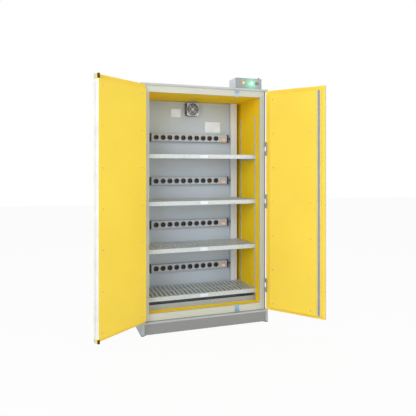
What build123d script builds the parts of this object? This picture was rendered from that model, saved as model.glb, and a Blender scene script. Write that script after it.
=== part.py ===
"""Fire-rated charging cabinet for lithium-ion batteries, with two doors shown open.

Millimetres. Origin: floor level, middle of the cabinet's width, in the plane of the casing's front rim.
+X to the right as seen from the front, +Y towards the back, +Z up.
"""

import math
import os

from build123d import *

os.makedirs("parts", exist_ok=True)

# ---- driving sizes -------------------------------------------------------------------------
# casing
BODY_WIDTH = 1094.0
BODY_DEPTH = 600.0
BODY_HEIGHT = 1942.0
BODY_LIFT = 3.5  # body over plinth
CASING_SHEET = 2.0
BOARD_GAP = 0.5
# lid and plinth
LID_OVERHANG = 23.0
LID_FRONT = 15.0
LID_THICK = 17.0
LID_SKIN = 2.0
PLINTH_FRONT = 23.5
PLINTH_TOP = 108.5
PLINTH_SHEET = 2.0
PLINTH_CORNER_R = 14.0
PLINTH_GROUND_GAP = 8.0
POST_WIDTH = 28.0
PLINTH_RAIL = 13.0
KICK_SETBACK = 3.5
RUNNER_WIDTH = 40.0
RUNNER_HEIGHT = 60.0
# opening, frame and lining
SIDE_WALL = 47.0
FLOOR_WALL = 58.0
ROOF_WALL = 54.0
REAR_WALL = 40.0
FRAME_THICK = 22.0
LINING_SHEET = 1.5
# rear insert
REAR_SPACE = 90.0  # rear panel's face to the casing's back
REAR_PANEL_SHEET = 1.5
TRUNK_WIDTH = 62.0
TRUNK_DEPTH = 40.0
TRUNK_WALL = 1.5
TRUNK_SIDE_GAP = 36.0
INSERT_GAP = 2.0
# shelves
SHELF_COUNT = 4
SHELF_FIRST_RISE = 105.0  # over the opening's floor
TOP_BAY = 510.0  # top shelf to the ceiling
SHELF_FRONT = 100.0
SHELF_LIP = 36.0
SHELF_SHEET = 2.0
SHELF_SIDE_GAP = 0.5
SHELF_REAR_GAP = 3.0
SLOT_COUNT = 24
SLOT_WIDTH = 12.0
SLOT_MARGIN = 26.0
SLOT_BAR = 18.0
RAIL_WIDTH = 20.0
RAIL_THICK = 3.0
RAIL_SHORT = 155.0  # rail's end under the ceiling
RAIL_SLOT = 6.0
RAIL_SLOT_PITCH = 81.0
BRACKET_HEIGHT = 16.0
BRACKET_THICK = 3.0
# sump
SUMP_HEIGHT = 44.0
SUMP_SHEET = 2.0
# power strips
STRIP_LEFT_GAP = 4.0  # to the trunking
STRIP_RIGHT_GAP = 30.0
STRIP_HEIGHT = 72.0
STRIP_DEPTH = 46.0
STRIP_ABOVE_SHELF = 164.0
STRIP_CAP = 14.0
SWITCH_ROOM = 110.0  # strip's right end without sockets
SOCKET_PITCH = 65.0
SOCKET_FIRST = 58.0
SOCKET_R = 23.5
SOCKET_RECESS_R = 19.5
SOCKET_RECESS = 16.0
SOCKET_BODY = 22.0
SOCKET_PROUD = 2.0
PIN_HOLE_R = 2.5
PIN_HOLE_SPREAD = 9.5
SWITCH_WIDTH = 24.0
SWITCH_HEIGHT = 14.0
SWITCH_FROM_END = 34.0
SWITCH_BELOW = 13.0
SWITCH_TILT = 9.0
# fan
FAN_SIZE = 120.0
FAN_DEPTH = 50.0
FAN_X = 12.0
FAN_DROP = 75.0  # under the ceiling
FAN_BORE_R = 56.0
FAN_HUB_R = 24.0
FAN_BLADES = 7
FAN_TIP_GAP = 2.0
# doors, closed
FIELD_GAP = 4.0  # raised field to frame
FIELD_RISE = 35.0
LEAF_THICK = 23.0  # behind the raised field
LEAF_INSET = 1.0  # hinge edge inside the casing's side
LEAF_SHORT_LOW = 8.5
LEAF_SHORT_TOP = 2.5
LEAF_SKIN = 1.5
LIP_REACH = 5.0  # the right leaf passes the middle by this much
LEFT_SETBACK = 8.0  # the left leaf stops this far short of the middle
LEFT_FIELD_END = 1.5
RIGHT_FIELD_END = 20.0
LEFT_HINGE_MARGIN = 28.0
RIGHT_HINGE_MARGIN = 52.0
FIELD_LOW_MARGIN = 30.0
FIELD_TOP_MARGIN = 37.0
LEFT_OPEN = 141.3
RIGHT_OPEN = 126.1
# hinges
PIN_INSET = 3.0
PIN_BEHIND = 2.0  # in front of the leaf's inner plane
PIN_R = 3.0
PIN_RUN = 0.05
KNUCKLE_R = 6.0
KNUCKLE_CLEAR = 2.0
KNUCKLE_HEIGHT = 40.0
KNUCKLE_GAP = 0.5
HINGE_LOW = 209.5  # over the leaf's bottom
HINGE_MIDDLE = 954.5
HINGE_TOP = 511.5  # under the leaf's top
HINGE_PLATE = 2.5
HINGE_TAB = 4.0
HINGE_FOOT = 10.0
# control box
BOX_WIDTH = 250.0
BOX_DEPTH = 155.0
BOX_HEIGHT = 97.0
BOX_FROM_RIGHT = 48.0  # to the lid's edge
BOX_FRONT = 20.0
BOX_WALL = 2.0
LAMP_R = 11.0
LAMP_SPOTS = {"amber_lamp": 72.0, "green_lamp": 153.0}
BUTTON_SPOT = 200.0
LAMP_Z = 53.0
BUTTON_TRAVEL = 3.0
# exhaust connection
SPIGOT_R = 37.5
SPIGOT_WALL = 2.0
SPIGOT_HEIGHT = 45.0
SPIGOT_X = 0.0
SPIGOT_FROM_BACK = 160.0
# bolts and handle
LATCH_R = 6.0
LATCH_TRAVEL = 30.0
LATCH_LENGTH = 160.0
LATCH_INSET = 271.0  # from the right door's hinge edge
EDGE_BOLT_R = 3.0
BOLT_BEHIND = 5.5
EDGE_BOLT_RISE = 12.0
EDGE_BOLT_DROP = 20.0
EDGE_BOLT_LENGTH = 120.0
EDGE_BLOCK = 11.0
EDGE_BLOCK_DEPTH = 15.0
HANDLE_INSET = 470.0
HANDLE_Z = 1050.0
HANDLE_LENGTH = 130.0
SCREW_ROWS = 7
SCREW_LOW_MARGIN = 39.5
SCREW_TOP_MARGIN = 46.7
LEFT_SCREWS = (82.0, 504.0)
RIGHT_SCREWS = (86.0, 438.0)
SCREW_R = 5.0
SCREW_PROUD = 2.2

# small sizes
PAD_INSET = 4.0
SPACER_WIDTH = 60.0
SPACER_INSET = 20.0
SIDE_FLANGE = 18.0
BEAD_HALF = 420.0
BEAD_DEPTH = 1.0
BEAD_HEIGHT = 40.0
LID_EDGE_R = 4.0
SPIGOT_FLANGE = 14.0
CABLE_BEHIND = 20.0
CABLE_R = 4.5
CABLE_SEAT = 12.0
RAIL_LEAD = 2.0
RAIL_SLOT_TOP = 50.0
BRACKET_SEAT = 16.0
BRACKET_SETBACK = 15.0
SHELF_NOSE_R = 1.8
SHELF_HEM = 14.0
SUMP_CORNER_R = 8.0
STRIP_EDGE_R = 3.0
SOCKET_CLEAR = 0.3
SWITCH_WELL = 14.0
SWITCH_CLEAR = 0.8
SWITCH_AXLE = 5.0
SWITCH_PROUD = 1.0
SWITCH_DISH = 1.2
SWITCH_BACK = 6.0
FAN_CORNER_R = 10.0
FAN_FLANGE = 5.0
FAN_FLANGE_IN = 1.0
FAN_MOTOR = 18.0
FAN_ARM = 6.0
FAN_STUB = 6.0
FAN_AXLE_R = 4.0
FAN_HOLE = 52.0
FAN_HOLE_R = 2.2
FAN_GUARD_GAP = 4.0
FAN_BLADE = 2.2
FAN_PITCH = 38.0
GUARD_SHEET = 1.5
GUARD_HUB_R = 13.0
GUARD_WIRE = 2.4
GUARD_PITCH = 7.0
GUARD_RINGS = 5
LEAF_EDGE_R = 3.0
STUD_SPREAD = 36.0
STUD_INSET = 22.0
STUD_PROUD = 1.5
STUD_R = 5.0
WALL_STUD_Y = 37.0
BAR_WIDTH = 28.0
BAR_THICK = 2.6
BAR_LIP = 5.0
BAR_WEB = 1.0
LID_FLANGE = 14.0
BOLT_PLAY = 0.3
BOLT_TIP = 1.0
BOLT_SUNK = 1.0
BOLT_CHAMFER = 1.0
LOCK_R = 9.0
LOCK_PROUD = 3.0
BOX_EDGE_R = 5.0
LAMP_STEM_R = 7.0
LAMP_STEM = 18.0
LAMP_PROUD = 12.0
LAMP_BEVEL = 3.5
BUTTON_CAP = 8.0
BUTTON_CLEAR = 0.3
BUTTON_BEVEL = 1.2
GLAND_INSET = 12.0
GLAND_BEHIND = 40.0
GLAND_R = 8.0
GLAND_HEIGHT = 14.0
GLAND_BORE = 6.0
PLATE_THICK = 1.2
LABEL_WIDTH = 70.0
LABEL_HEIGHT = 26.0
LABEL_X = 8.0
SIGN_LEFT = -187.0
SIGN_LEFT_WIDTH = 92.0
SIGN_LEFT_HEIGHT = 75.0
SIGN_LEFT_DROP = 73.0
SIGN_RIGHT = 149.0
SIGN_RIGHT_WIDTH = 154.0
SIGN_RIGHT_HEIGHT = 101.0
SIGN_RIGHT_DROP = 185.0
SEAL_THICK = 1.6
SEAL_WIDTH = 5.0
FIELD_EDGE_R = 2.0
CORE_HINGE_ROOM = 14.0
EDGE_SEAL_THICK = 1.0
LATCH_BEHIND = 12.0
KEEPER_WIDTH = 38.0
KEEPER_REACH = 26.0
KEEPER_OVERLAP = 6.0
KEEPER_SHEET = 1.5
KEEPER_TOP_MARGIN = 14.0
KEEPER_LOW_MARGIN = 3.0
KEEPER_TOP_STEP = 4.0
KEEPER_LOW_STEP = 13.0
HANDLE_PLATE_W = 44.0
HANDLE_PLATE_H = 150.0
HANDLE_PLATE_T = 9.0
SPINDLE_R = 9.0
LEVER_W = 22.0
LEVER_T = 11.0
LEVER_STAND = 22.0

# ---- worked out ----------------------------------------------------------------------------
BODY_HALF = BODY_WIDTH / 2
BODY_BOTTOM = PLINTH_TOP + BODY_LIFT
BODY_TOP = BODY_BOTTOM + BODY_HEIGHT
OPEN_HALF = BODY_HALF - SIDE_WALL
OPENING_BOTTOM = BODY_BOTTOM + FLOOR_WALL
OPENING_TOP = BODY_TOP - ROOF_WALL
LINING_BACK = BODY_DEPTH - REAR_WALL
REAR_PANEL_Y = BODY_DEPTH - REAR_SPACE
LID_HALF = BODY_HALF + LID_OVERHANG
LID_TOP = BODY_TOP + LID_THICK
SPIGOT_Y = BODY_DEPTH - SPIGOT_FROM_BACK
BOX_LEFT = LID_HALF - BOX_FROM_RIGHT - BOX_WIDTH
GLAND_X = BOX_LEFT + BOX_WIDTH - GLAND_INSET
GLAND_Y = BOX_FRONT + GLAND_BEHIND
# doors
FIELD_FACE = -FIELD_GAP
LEAF_PLANE = FIELD_FACE - FIELD_RISE
LEAF_FRONT = LEAF_PLANE - LEAF_THICK
LEAF_EDGE = BODY_HALF - LEAF_INSET
LEAF_BOTTOM = BODY_BOTTOM + LEAF_SHORT_LOW
LEAF_TOP = BODY_TOP - LEAF_SHORT_TOP
FIELD_BOTTOM = LEAF_BOTTOM + FIELD_LOW_MARGIN
FIELD_TOP = LEAF_TOP - FIELD_TOP_MARGIN
PIN_X = LEAF_EDGE - PIN_INSET
PIN_Y = LEAF_PLANE - PIN_BEHIND
HINGE_LEVELS = (LEAF_BOTTOM + HINGE_LOW, LEAF_BOTTOM + HINGE_MIDDLE, LEAF_TOP - HINGE_TOP)
SCREW_FIRST = FIELD_BOTTOM + SCREW_LOW_MARGIN
SCREW_PITCH = (FIELD_TOP - SCREW_TOP_MARGIN - SCREW_FIRST) / (SCREW_ROWS - 1)
BOLT_X = -LEFT_FIELD_END - EDGE_BLOCK / 2
BOLT_Y = FIELD_FACE - BOLT_BEHIND
BOLT_ENDS = ((FIELD_TOP, LEAF_TOP), (LEAF_BOTTOM, FIELD_BOTTOM))
LATCH_X = LEAF_EDGE - LATCH_INSET
LATCH_Y = FIELD_FACE - LATCH_BEHIND
KEEPER_TOP = BODY_TOP - KEEPER_TOP_MARGIN
KEEPER_BOTTOM = BODY_BOTTOM + KEEPER_LOW_MARGIN
KEEPER_TOP_TAB = KEEPER_TOP - KEEPER_TOP_STEP
KEEPER_LOW_TAB = KEEPER_BOTTOM + KEEPER_LOW_STEP
# inside
TRUNK_OUTER = OPEN_HALF - TRUNK_SIDE_GAP
TRUNK_INNER = TRUNK_OUTER - TRUNK_WIDTH
SHELF_TOP_FIRST = OPENING_BOTTOM + SHELF_FIRST_RISE
SHELF_PITCH = (OPENING_TOP - TOP_BAY - SHELF_TOP_FIRST) / (SHELF_COUNT - 1)
SHELF_TOPS = [SHELF_TOP_FIRST + i * SHELF_PITCH for i in range(SHELF_COUNT)]
RAIL_X = OPEN_HALF - RAIL_THICK
RAIL_TOP = OPENING_TOP - RAIL_SHORT
RAIL_SLOT_FIRST = SHELF_TOP_FIRST - BRACKET_HEIGHT
RAIL_SLOTS = int((RAIL_TOP - RAIL_SLOT_TOP - RAIL_SLOT_FIRST) / RAIL_SLOT_PITCH) + 1
SHELF_HALF = OPEN_HALF - SHELF_SIDE_GAP
SHELF_BACK = REAR_PANEL_Y - TRUNK_DEPTH - SHELF_REAR_GAP
STRIP_LEVELS = [top + STRIP_ABOVE_SHELF for top in SHELF_TOPS]
STRIP_FACE = REAR_PANEL_Y - STRIP_DEPTH
STRIP_LEFT = STRIP_LEFT_GAP - TRUNK_INNER
STRIP_RIGHT = TRUNK_INNER - STRIP_RIGHT_GAP
STRIP_LENGTH = STRIP_RIGHT - STRIP_LEFT
SOCKET_COUNT = int((STRIP_LENGTH - SOCKET_FIRST - SWITCH_ROOM) / SOCKET_PITCH) + 1
CABLE_Y = REAR_PANEL_Y - CABLE_BEHIND
FAN_Z = OPENING_TOP - FAN_DROP


def block(x0, x1, y0, y1, z0, z1):
    """A box between two corners."""
    size = Box(x1 - x0, y1 - y0, z1 - z0, align=(Align.MIN,) * 3)
    return Pos(x0, y0, z0) * size


def post(x, y, z0, z1, radius):
    """An upright cylinder."""
    return Pos(x, y, z0) * Cylinder(radius, z1 - z0, align=(Align.CENTER, Align.CENTER, Align.MIN))


def rod_y(x, y0, y1, z, radius):
    """A cylinder along Y."""
    disc = Cylinder(radius, y1 - y0, align=(Align.CENTER, Align.CENTER, Align.MIN))
    return Pos(x, y0, z) * Rot(-90, 0, 0) * disc


def rod_x(x0, x1, y, z, radius):
    """A cylinder along X."""
    disc = Cylinder(radius, x1 - x0, align=(Align.CENTER, Align.CENTER, Align.MIN))
    return Pos(x0, y, z) * Rot(0, 90, 0) * disc


def save(name, *shapes):
    """Writes one node from its separate solids."""
    solids = []
    for shape in shapes:
        solids.extend(shape.solids())
    export_step(Compound(children=solids), f"parts/{name}.step")


def mirror_x(shape):
    """The same shape on the other side of the cabinet."""
    return mirror(shape, about=Plane.YZ)


# ---- plinth --------------------------------------------------------------------------------
def make_floor_frame():
    """Runners on both sides, joined by a rail at the back, that the cabinet stands on; a pad ends each one."""
    outer = LID_HALF - PLINTH_SHEET
    back = BODY_DEPTH - PLINTH_SHEET
    front = -PLINTH_FRONT + KICK_SETBACK + PLINTH_RAIL + BOARD_GAP
    height = PLINTH_TOP - PLINTH_SHEET
    side = block(outer - RUNNER_WIDTH, outer, front, back, 0, height)
    rear = block(-outer, outer, back - RUNNER_WIDTH, back, 0, height)
    pad = block(LID_HALF - POST_WIDTH, LID_HALF - PAD_INSET, -PLINTH_FRONT + PAD_INSET, front, 0, PLINTH_GROUND_GAP - BOARD_GAP)
    frame = side + mirror_x(side) + rear
    corners = frame.edges().filter_by(Axis.Z).group_by(Axis.Y)[-1]
    frame = fillet(corners, PLINTH_CORNER_R - PLINTH_SHEET)
    return frame + pad + mirror_x(pad)


def make_plinth_shell():
    """Sheet skirt with rounded corners, a top plate and a window at the front for the kick panel."""
    depth = BODY_DEPTH + PLINTH_FRONT
    centre_y = (BODY_DEPTH - PLINTH_FRONT) / 2
    height = PLINTH_TOP - PLINTH_GROUND_GAP
    outline = Pos(0, centre_y) * RectangleRounded(2 * LID_HALF, depth, PLINTH_CORNER_R)
    skirt = Pos(0, 0, PLINTH_GROUND_GAP) * extrude(outline, height)
    inside = Pos(0, centre_y) * RectangleRounded(
        2 * (LID_HALF - PLINTH_SHEET), depth - 2 * PLINTH_SHEET, PLINTH_CORNER_R - PLINTH_SHEET
    )
    skirt -= Pos(0, 0, PLINTH_GROUND_GAP) * extrude(inside, height - PLINTH_SHEET)
    window = LID_HALF - POST_WIDTH
    skirt -= block(
        -window, window, -PLINTH_FRONT - 1, -PLINTH_FRONT + PLINTH_SHEET + 1,
        PLINTH_GROUND_GAP - 1, PLINTH_TOP - PLINTH_RAIL,
    )
    hole_depth = PLINTH_SHEET + 1
    skirt -= post(BOLT_X, BOLT_Y, PLINTH_TOP - hole_depth, PLINTH_TOP + 1, EDGE_BOLT_R + 1)
    return skirt


def make_kick_panel():
    """Removable front panel of the plinth, a folded tray set back from the posts."""
    half = LID_HALF - POST_WIDTH - BOARD_GAP
    face = -PLINTH_FRONT + KICK_SETBACK
    top = PLINTH_TOP - PLINTH_RAIL - BOARD_GAP
    tray = block(-half, half, face, face + PLINTH_RAIL, PLINTH_GROUND_GAP, top)
    hollow = block(
        -half + PLINTH_SHEET, half - PLINTH_SHEET, face + PLINTH_SHEET, face + PLINTH_RAIL + 1,
        PLINTH_GROUND_GAP + PLINTH_SHEET, top - PLINTH_SHEET,
    )
    tray -= hollow
    rib = block(
        -half + PLINTH_SHEET, half - PLINTH_SHEET, face + PLINTH_SHEET, face + PLINTH_SHEET * 2,
        (PLINTH_GROUND_GAP + top) / 2 - 8, (PLINTH_GROUND_GAP + top) / 2 + 8,
    )
    return tray + rib


# ---- casing --------------------------------------------------------------------------------
def casing_front():
    """Where the casing sheets and boards start, behind the frame."""
    return FRAME_THICK + BOARD_GAP


def make_side_panel():
    """Right-hand outer side, with a flange behind the frame."""
    outer = BODY_HALF
    panel = block(outer - CASING_SHEET, outer, casing_front(), BODY_DEPTH, BODY_BOTTOM, BODY_TOP)
    panel += block(outer - SIDE_FLANGE, outer, casing_front(), casing_front() + CASING_SHEET, BODY_BOTTOM, BODY_TOP)
    return panel


def make_pan(low, high):
    """Horizontal casing sheet between the sides; it closes the body at the top or at the bottom."""
    inner = BODY_HALF - SIDE_FLANGE - BOARD_GAP
    wide = BODY_HALF - CASING_SHEET - BOARD_GAP
    back = BODY_DEPTH - CASING_SHEET - BOARD_GAP
    pan = block(-inner, inner, casing_front(), back, low, high)
    return pan + block(-wide, wide, casing_front() + CASING_SHEET + BOARD_GAP, back, low, high)


def make_roof_pan():
    pan = make_pan(BODY_TOP - CASING_SHEET, BODY_TOP)
    return pan - post(SPIGOT_X, SPIGOT_Y, BODY_TOP - CASING_SHEET - 1, BODY_TOP + 1, SPIGOT_R + BOARD_GAP)


def make_floor_pan():
    """Bottom sheet, on two spacer rails that stand on the plinth."""
    pan = make_pan(BODY_BOTTOM, BODY_BOTTOM + CASING_SHEET)
    rail = block(OPEN_HALF - SPACER_WIDTH, OPEN_HALF, casing_front() + SPACER_INSET, BODY_DEPTH - SPACER_INSET,
                 PLINTH_TOP, BODY_BOTTOM)
    return pan + rail + mirror_x(rail)


def make_rear_casing():
    """Outer back panel, with shallow stiffening beads."""
    inner = BODY_HALF - CASING_SHEET
    panel = block(-inner, inner, BODY_DEPTH - CASING_SHEET, BODY_DEPTH, BODY_BOTTOM, BODY_TOP)
    bead = block(-BEAD_HALF, BEAD_HALF, BODY_DEPTH - BEAD_DEPTH, BODY_DEPTH + 1, -BEAD_HEIGHT / 2, BEAD_HEIGHT / 2)
    span = BODY_TOP - BODY_BOTTOM
    for share in (0.25, 0.5, 0.75):
        panel -= Pos(0, 0, BODY_BOTTOM + span * share) * bead
    return panel


def make_lid():
    """Top cover: a shallow tray upside down that overhangs the casing at the front and sides."""
    cover = block(-LID_HALF, LID_HALF, -LID_FRONT, BODY_DEPTH, BODY_TOP, LID_TOP)
    front_edge = cover.edges().filter_by(Axis.X).group_by(Axis.Z)[-1].sort_by(Axis.Y)[0]
    cover = fillet(front_edge, LID_EDGE_R)
    cover -= block(
        -BODY_HALF + LID_FLANGE, BODY_HALF - LID_FLANGE, LID_FLANGE, BODY_DEPTH - LID_FLANGE,
        BODY_TOP - 1, LID_TOP - LID_SKIN,
    )
    cover -= post(BOLT_X, BOLT_Y, BODY_TOP - 1, BODY_TOP + EDGE_BOLT_RISE, EDGE_BOLT_R + 1)
    cover -= post(SPIGOT_X, SPIGOT_Y, BODY_TOP, LID_TOP + 1, SPIGOT_R + BOARD_GAP)
    return cover


def make_frame():
    """Cream front frame round the opening: the face that the doors' raised fields close against."""
    ring = block(-BODY_HALF, BODY_HALF, 0, FRAME_THICK, BODY_BOTTOM, BODY_TOP)
    ring -= block(-OPEN_HALF, OPEN_HALF, -1, FRAME_THICK + 1, OPENING_BOTTOM, OPENING_TOP)
    return ring


def make_frame_seals():
    """Black seal strip along each outer edge of the frame, in lengths between the hinges."""
    half = KNUCKLE_HEIGHT * 1.5 + KNUCKLE_GAP * 2
    stops = [BODY_BOTTOM + SEAL_WIDTH]
    for level in HINGE_LEVELS:
        stops += [level - half, level + half]
    stops.append(BODY_TOP - SEAL_WIDTH)
    strips = []
    for low, high in zip(stops[::2], stops[1::2]):
        strip = block(BODY_HALF - SEAL_WIDTH, BODY_HALF, -SEAL_THICK, 0, low, high)
        strips += [strip, mirror_x(strip)]
    return strips


def make_boards():
    """Fire-resistant boards between casing and lining, one for each wall."""
    gap = BOARD_GAP
    outer_x = BODY_HALF - CASING_SHEET
    inner_x = OPEN_HALF + LINING_SHEET
    front = casing_front() + CASING_SHEET
    back = BODY_DEPTH - CASING_SHEET
    low = BODY_BOTTOM + CASING_SHEET
    high = BODY_TOP - CASING_SHEET
    inner_back = LINING_BACK + LINING_SHEET
    inner_low = OPENING_BOTTOM - LINING_SHEET
    inner_high = OPENING_TOP + LINING_SHEET
    side = block(inner_x, outer_x, front, back, low, high)
    rear = block(-inner_x + gap, inner_x - gap, inner_back, back, inner_low, inner_high)
    floor = block(-inner_x + gap, inner_x - gap, front, back, low, inner_low)
    roof = block(-inner_x + gap, inner_x - gap, front, back, inner_high, high)
    roof -= post(SPIGOT_X, SPIGOT_Y, inner_high - 1, high + 1, SPIGOT_R + gap)
    return side, mirror_x(side), rear, floor, roof


def make_lining():
    """Painted inner sheets: two sides, back, ceiling and floor."""
    front = FRAME_THICK
    back = LINING_BACK
    side = block(OPEN_HALF, OPEN_HALF + LINING_SHEET, front, back, OPENING_BOTTOM, OPENING_TOP)
    half = OPEN_HALF + LINING_SHEET
    rear = block(-half, half, back, back + LINING_SHEET, OPENING_BOTTOM, OPENING_TOP)
    roof = block(-half, half, front, back + LINING_SHEET, OPENING_TOP, OPENING_TOP + LINING_SHEET)
    roof -= post(SPIGOT_X, SPIGOT_Y, OPENING_TOP - 1, OPENING_TOP + LINING_SHEET + 1, SPIGOT_R + BOARD_GAP)
    floor = block(-half, half, front, back + LINING_SHEET, OPENING_BOTTOM - LINING_SHEET, OPENING_BOTTOM)
    return side, mirror_x(side), rear, roof, floor


def make_exhaust_spigot():
    """Round duct from the ceiling through the roof, for the exhaust air hose."""
    top = LID_TOP + SPIGOT_HEIGHT
    tube = post(SPIGOT_X, SPIGOT_Y, OPENING_TOP, top, SPIGOT_R)
    tube -= post(SPIGOT_X, SPIGOT_Y, OPENING_TOP - 1, top + 1, SPIGOT_R - SPIGOT_WALL)
    collar = post(SPIGOT_X, SPIGOT_Y, LID_TOP, LID_TOP + SPIGOT_WALL, SPIGOT_R + SPIGOT_FLANGE)
    collar -= post(SPIGOT_X, SPIGOT_Y, LID_TOP - 1, LID_TOP + SPIGOT_WALL + 1, SPIGOT_R - SPIGOT_WALL)
    return tube + collar


def make_keeper(inner, outer, tab):
    """Plate on the frame that laps over the opening's edge, with a forward tab whose hole takes a latch rod."""
    half = KEEPER_WIDTH / 2
    low, high = sorted((inner, outer))
    plate = block(LATCH_X - half, LATCH_X + half, -KEEPER_SHEET, 0, low, high)
    plate += block(LATCH_X - half, LATCH_X + half, -KEEPER_REACH, 0, tab, tab + KEEPER_SHEET)
    return plate - post(LATCH_X, LATCH_Y, tab - 1, tab + KEEPER_SHEET + 1, LATCH_R + 1)


# ---- inside --------------------------------------------------------------------------------
def make_rear_panel():
    """Sheet panel in front of the air space, with a hole behind the fan."""
    half = TRUNK_INNER - INSERT_GAP
    panel = block(-half, half, REAR_PANEL_Y, REAR_PANEL_Y + REAR_PANEL_SHEET,
                  OPENING_BOTTOM, OPENING_TOP - INSERT_GAP)
    flange_low = block(-half, half, REAR_PANEL_Y, LINING_BACK - BOARD_GAP,
                       OPENING_BOTTOM, OPENING_BOTTOM + REAR_PANEL_SHEET)
    panel += flange_low
    panel -= rod_y(FAN_X, REAR_PANEL_Y - 1, REAR_PANEL_Y + REAR_PANEL_SHEET + 1, FAN_Z, FAN_BORE_R)
    return panel


def make_trunking():
    """Upright cable trunking on the right of the rear panel: a channel closed by a snap-on cover."""
    low = OPENING_BOTTOM
    high = OPENING_TOP - INSERT_GAP
    front = REAR_PANEL_Y - TRUNK_DEPTH
    back = LINING_BACK - BOARD_GAP
    channel = block(TRUNK_INNER, TRUNK_OUTER, front + TRUNK_WALL, back, low, high)
    channel -= block(TRUNK_INNER + TRUNK_WALL, TRUNK_OUTER - TRUNK_WALL, front - 1, back - TRUNK_WALL, low - 1, high + 1)
    for level in STRIP_LEVELS:
        channel -= rod_x(TRUNK_INNER - 1, TRUNK_INNER + TRUNK_WALL + 1, CABLE_Y, level, CABLE_R + 2)
    cover = block(TRUNK_INNER, TRUNK_OUTER, front, front + TRUNK_WALL, low, high)
    return channel, cover


def make_rails():
    """Slotted uprights against the side wall, a front one and a rear one, that carry the shelf brackets."""
    rails = []
    for y in (SHELF_FRONT - RAIL_LEAD, SHELF_BACK - RAIL_WIDTH):
        rail = block(RAIL_X, OPEN_HALF, y, y + RAIL_WIDTH, OPENING_BOTTOM, RAIL_TOP)
        for n in range(RAIL_SLOTS):
            z = RAIL_SLOT_FIRST + n * RAIL_SLOT_PITCH
            rail -= block(RAIL_X - 1, OPEN_HALF, y + RAIL_WIDTH / 2 - RAIL_SLOT / 2,
                          y + RAIL_WIDTH / 2 + RAIL_SLOT / 2, z, z + RAIL_SLOT * 2)
        rails.append(rail)
    return rails


def make_brackets():
    """Shelf carriers that hook on the uprights, one on each side of each shelf."""
    carriers = []
    for top in SHELF_TOPS:
        under = top - SHELF_LIP + SHELF_SHEET + 1
        outer = RAIL_X
        carrier = block(SHELF_HALF - BRACKET_SEAT, outer, SHELF_FRONT + BRACKET_SETBACK, SHELF_BACK - INSERT_GAP,
                        under, under + BRACKET_THICK)
        carrier += block(outer - BRACKET_THICK, outer, SHELF_FRONT + BRACKET_SETBACK, SHELF_BACK - INSERT_GAP,
                         under - BRACKET_HEIGHT, under + BRACKET_THICK)
        carriers += [carrier, mirror_x(carrier)]
    return carriers


def make_shelf(top):
    """Tray shelf: slotted deck with all four edges folded down, and a hem at the front."""
    half = SHELF_HALF - RAIL_THICK
    under = top - SHELF_LIP
    shelf = block(-half, half, SHELF_FRONT, SHELF_BACK, under, top)
    shelf = fillet(shelf.edges().filter_by(Axis.X).group_by(Axis.Z)[-1].sort_by(Axis.Y)[0], SHELF_NOSE_R)
    shelf -= block(-half + SHELF_SHEET, half - SHELF_SHEET, SHELF_FRONT + SHELF_SHEET, SHELF_BACK - SHELF_SHEET,
                   under - 1, top - SHELF_SHEET)
    shelf -= block(-half - 1, half + 1, SHELF_FRONT + SHELF_HEM, SHELF_BACK + 1, under - 1, under + BRACKET_THICK + SHELF_SHEET + 1)
    shelf += block(-half + SHELF_SHEET, half - SHELF_SHEET, SHELF_FRONT + SHELF_SHEET, SHELF_FRONT + SHELF_HEM,
                   under, under + SHELF_SHEET)
    pitch = (2 * half - 2 * SLOT_MARGIN) / SLOT_COUNT
    length = (SHELF_BACK - SHELF_FRONT - 2 * SLOT_MARGIN - SLOT_BAR) / 2
    for n in range(SLOT_COUNT):
        x = -half + SLOT_MARGIN + (n + 0.5) * pitch
        for y in (SHELF_FRONT + SLOT_MARGIN, SHELF_BACK - SLOT_MARGIN - length):
            shelf -= block(x - SLOT_WIDTH / 2, x + SLOT_WIDTH / 2, y, y + length, top - SHELF_SHEET - 1, top + 1)
    return shelf


def make_sump():
    """Spill tray on the cabinet's floor, under the lowest shelf."""
    half = SHELF_HALF - RAIL_THICK
    low = OPENING_BOTTOM
    tray = block(-half, half, SHELF_FRONT, SHELF_BACK, low, low + SUMP_HEIGHT)
    tray = fillet(tray.edges().filter_by(Axis.Z), SUMP_CORNER_R)
    pocket = block(-half + SUMP_SHEET, half - SUMP_SHEET, SHELF_FRONT + SUMP_SHEET, SHELF_BACK - SUMP_SHEET,
                   low + SUMP_SHEET, low + SUMP_HEIGHT + 1)
    pocket = fillet(pocket.edges().filter_by(Axis.Z), SUMP_CORNER_R - SUMP_SHEET)
    return tray - pocket


def make_label_plates():
    """Blank plates: two on the rear panel and a label holder on the front edge of each shelf."""
    face = REAR_PANEL_Y
    left_top = OPENING_TOP - SIGN_LEFT_DROP
    right_top = OPENING_TOP - SIGN_RIGHT_DROP
    left = block(SIGN_LEFT, SIGN_LEFT + SIGN_LEFT_WIDTH, face - PLATE_THICK, face, left_top - SIGN_LEFT_HEIGHT, left_top)
    right = block(SIGN_RIGHT, SIGN_RIGHT + SIGN_RIGHT_WIDTH, face - PLATE_THICK, face,
                  right_top - SIGN_RIGHT_HEIGHT, right_top)
    plates = [left, right]
    for top in SHELF_TOPS:
        middle = top - SHELF_LIP / 2
        plates.append(block(LABEL_X - LABEL_WIDTH / 2, LABEL_X + LABEL_WIDTH / 2, SHELF_FRONT - PLATE_THICK, SHELF_FRONT,
                            middle - LABEL_HEIGHT / 2, middle + LABEL_HEIGHT / 2))
    return plates


# ---- power strips --------------------------------------------------------------------------
def socket_spots(level):
    return [(STRIP_LEFT + SOCKET_FIRST + n * SOCKET_PITCH, level) for n in range(SOCKET_COUNT)]


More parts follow.
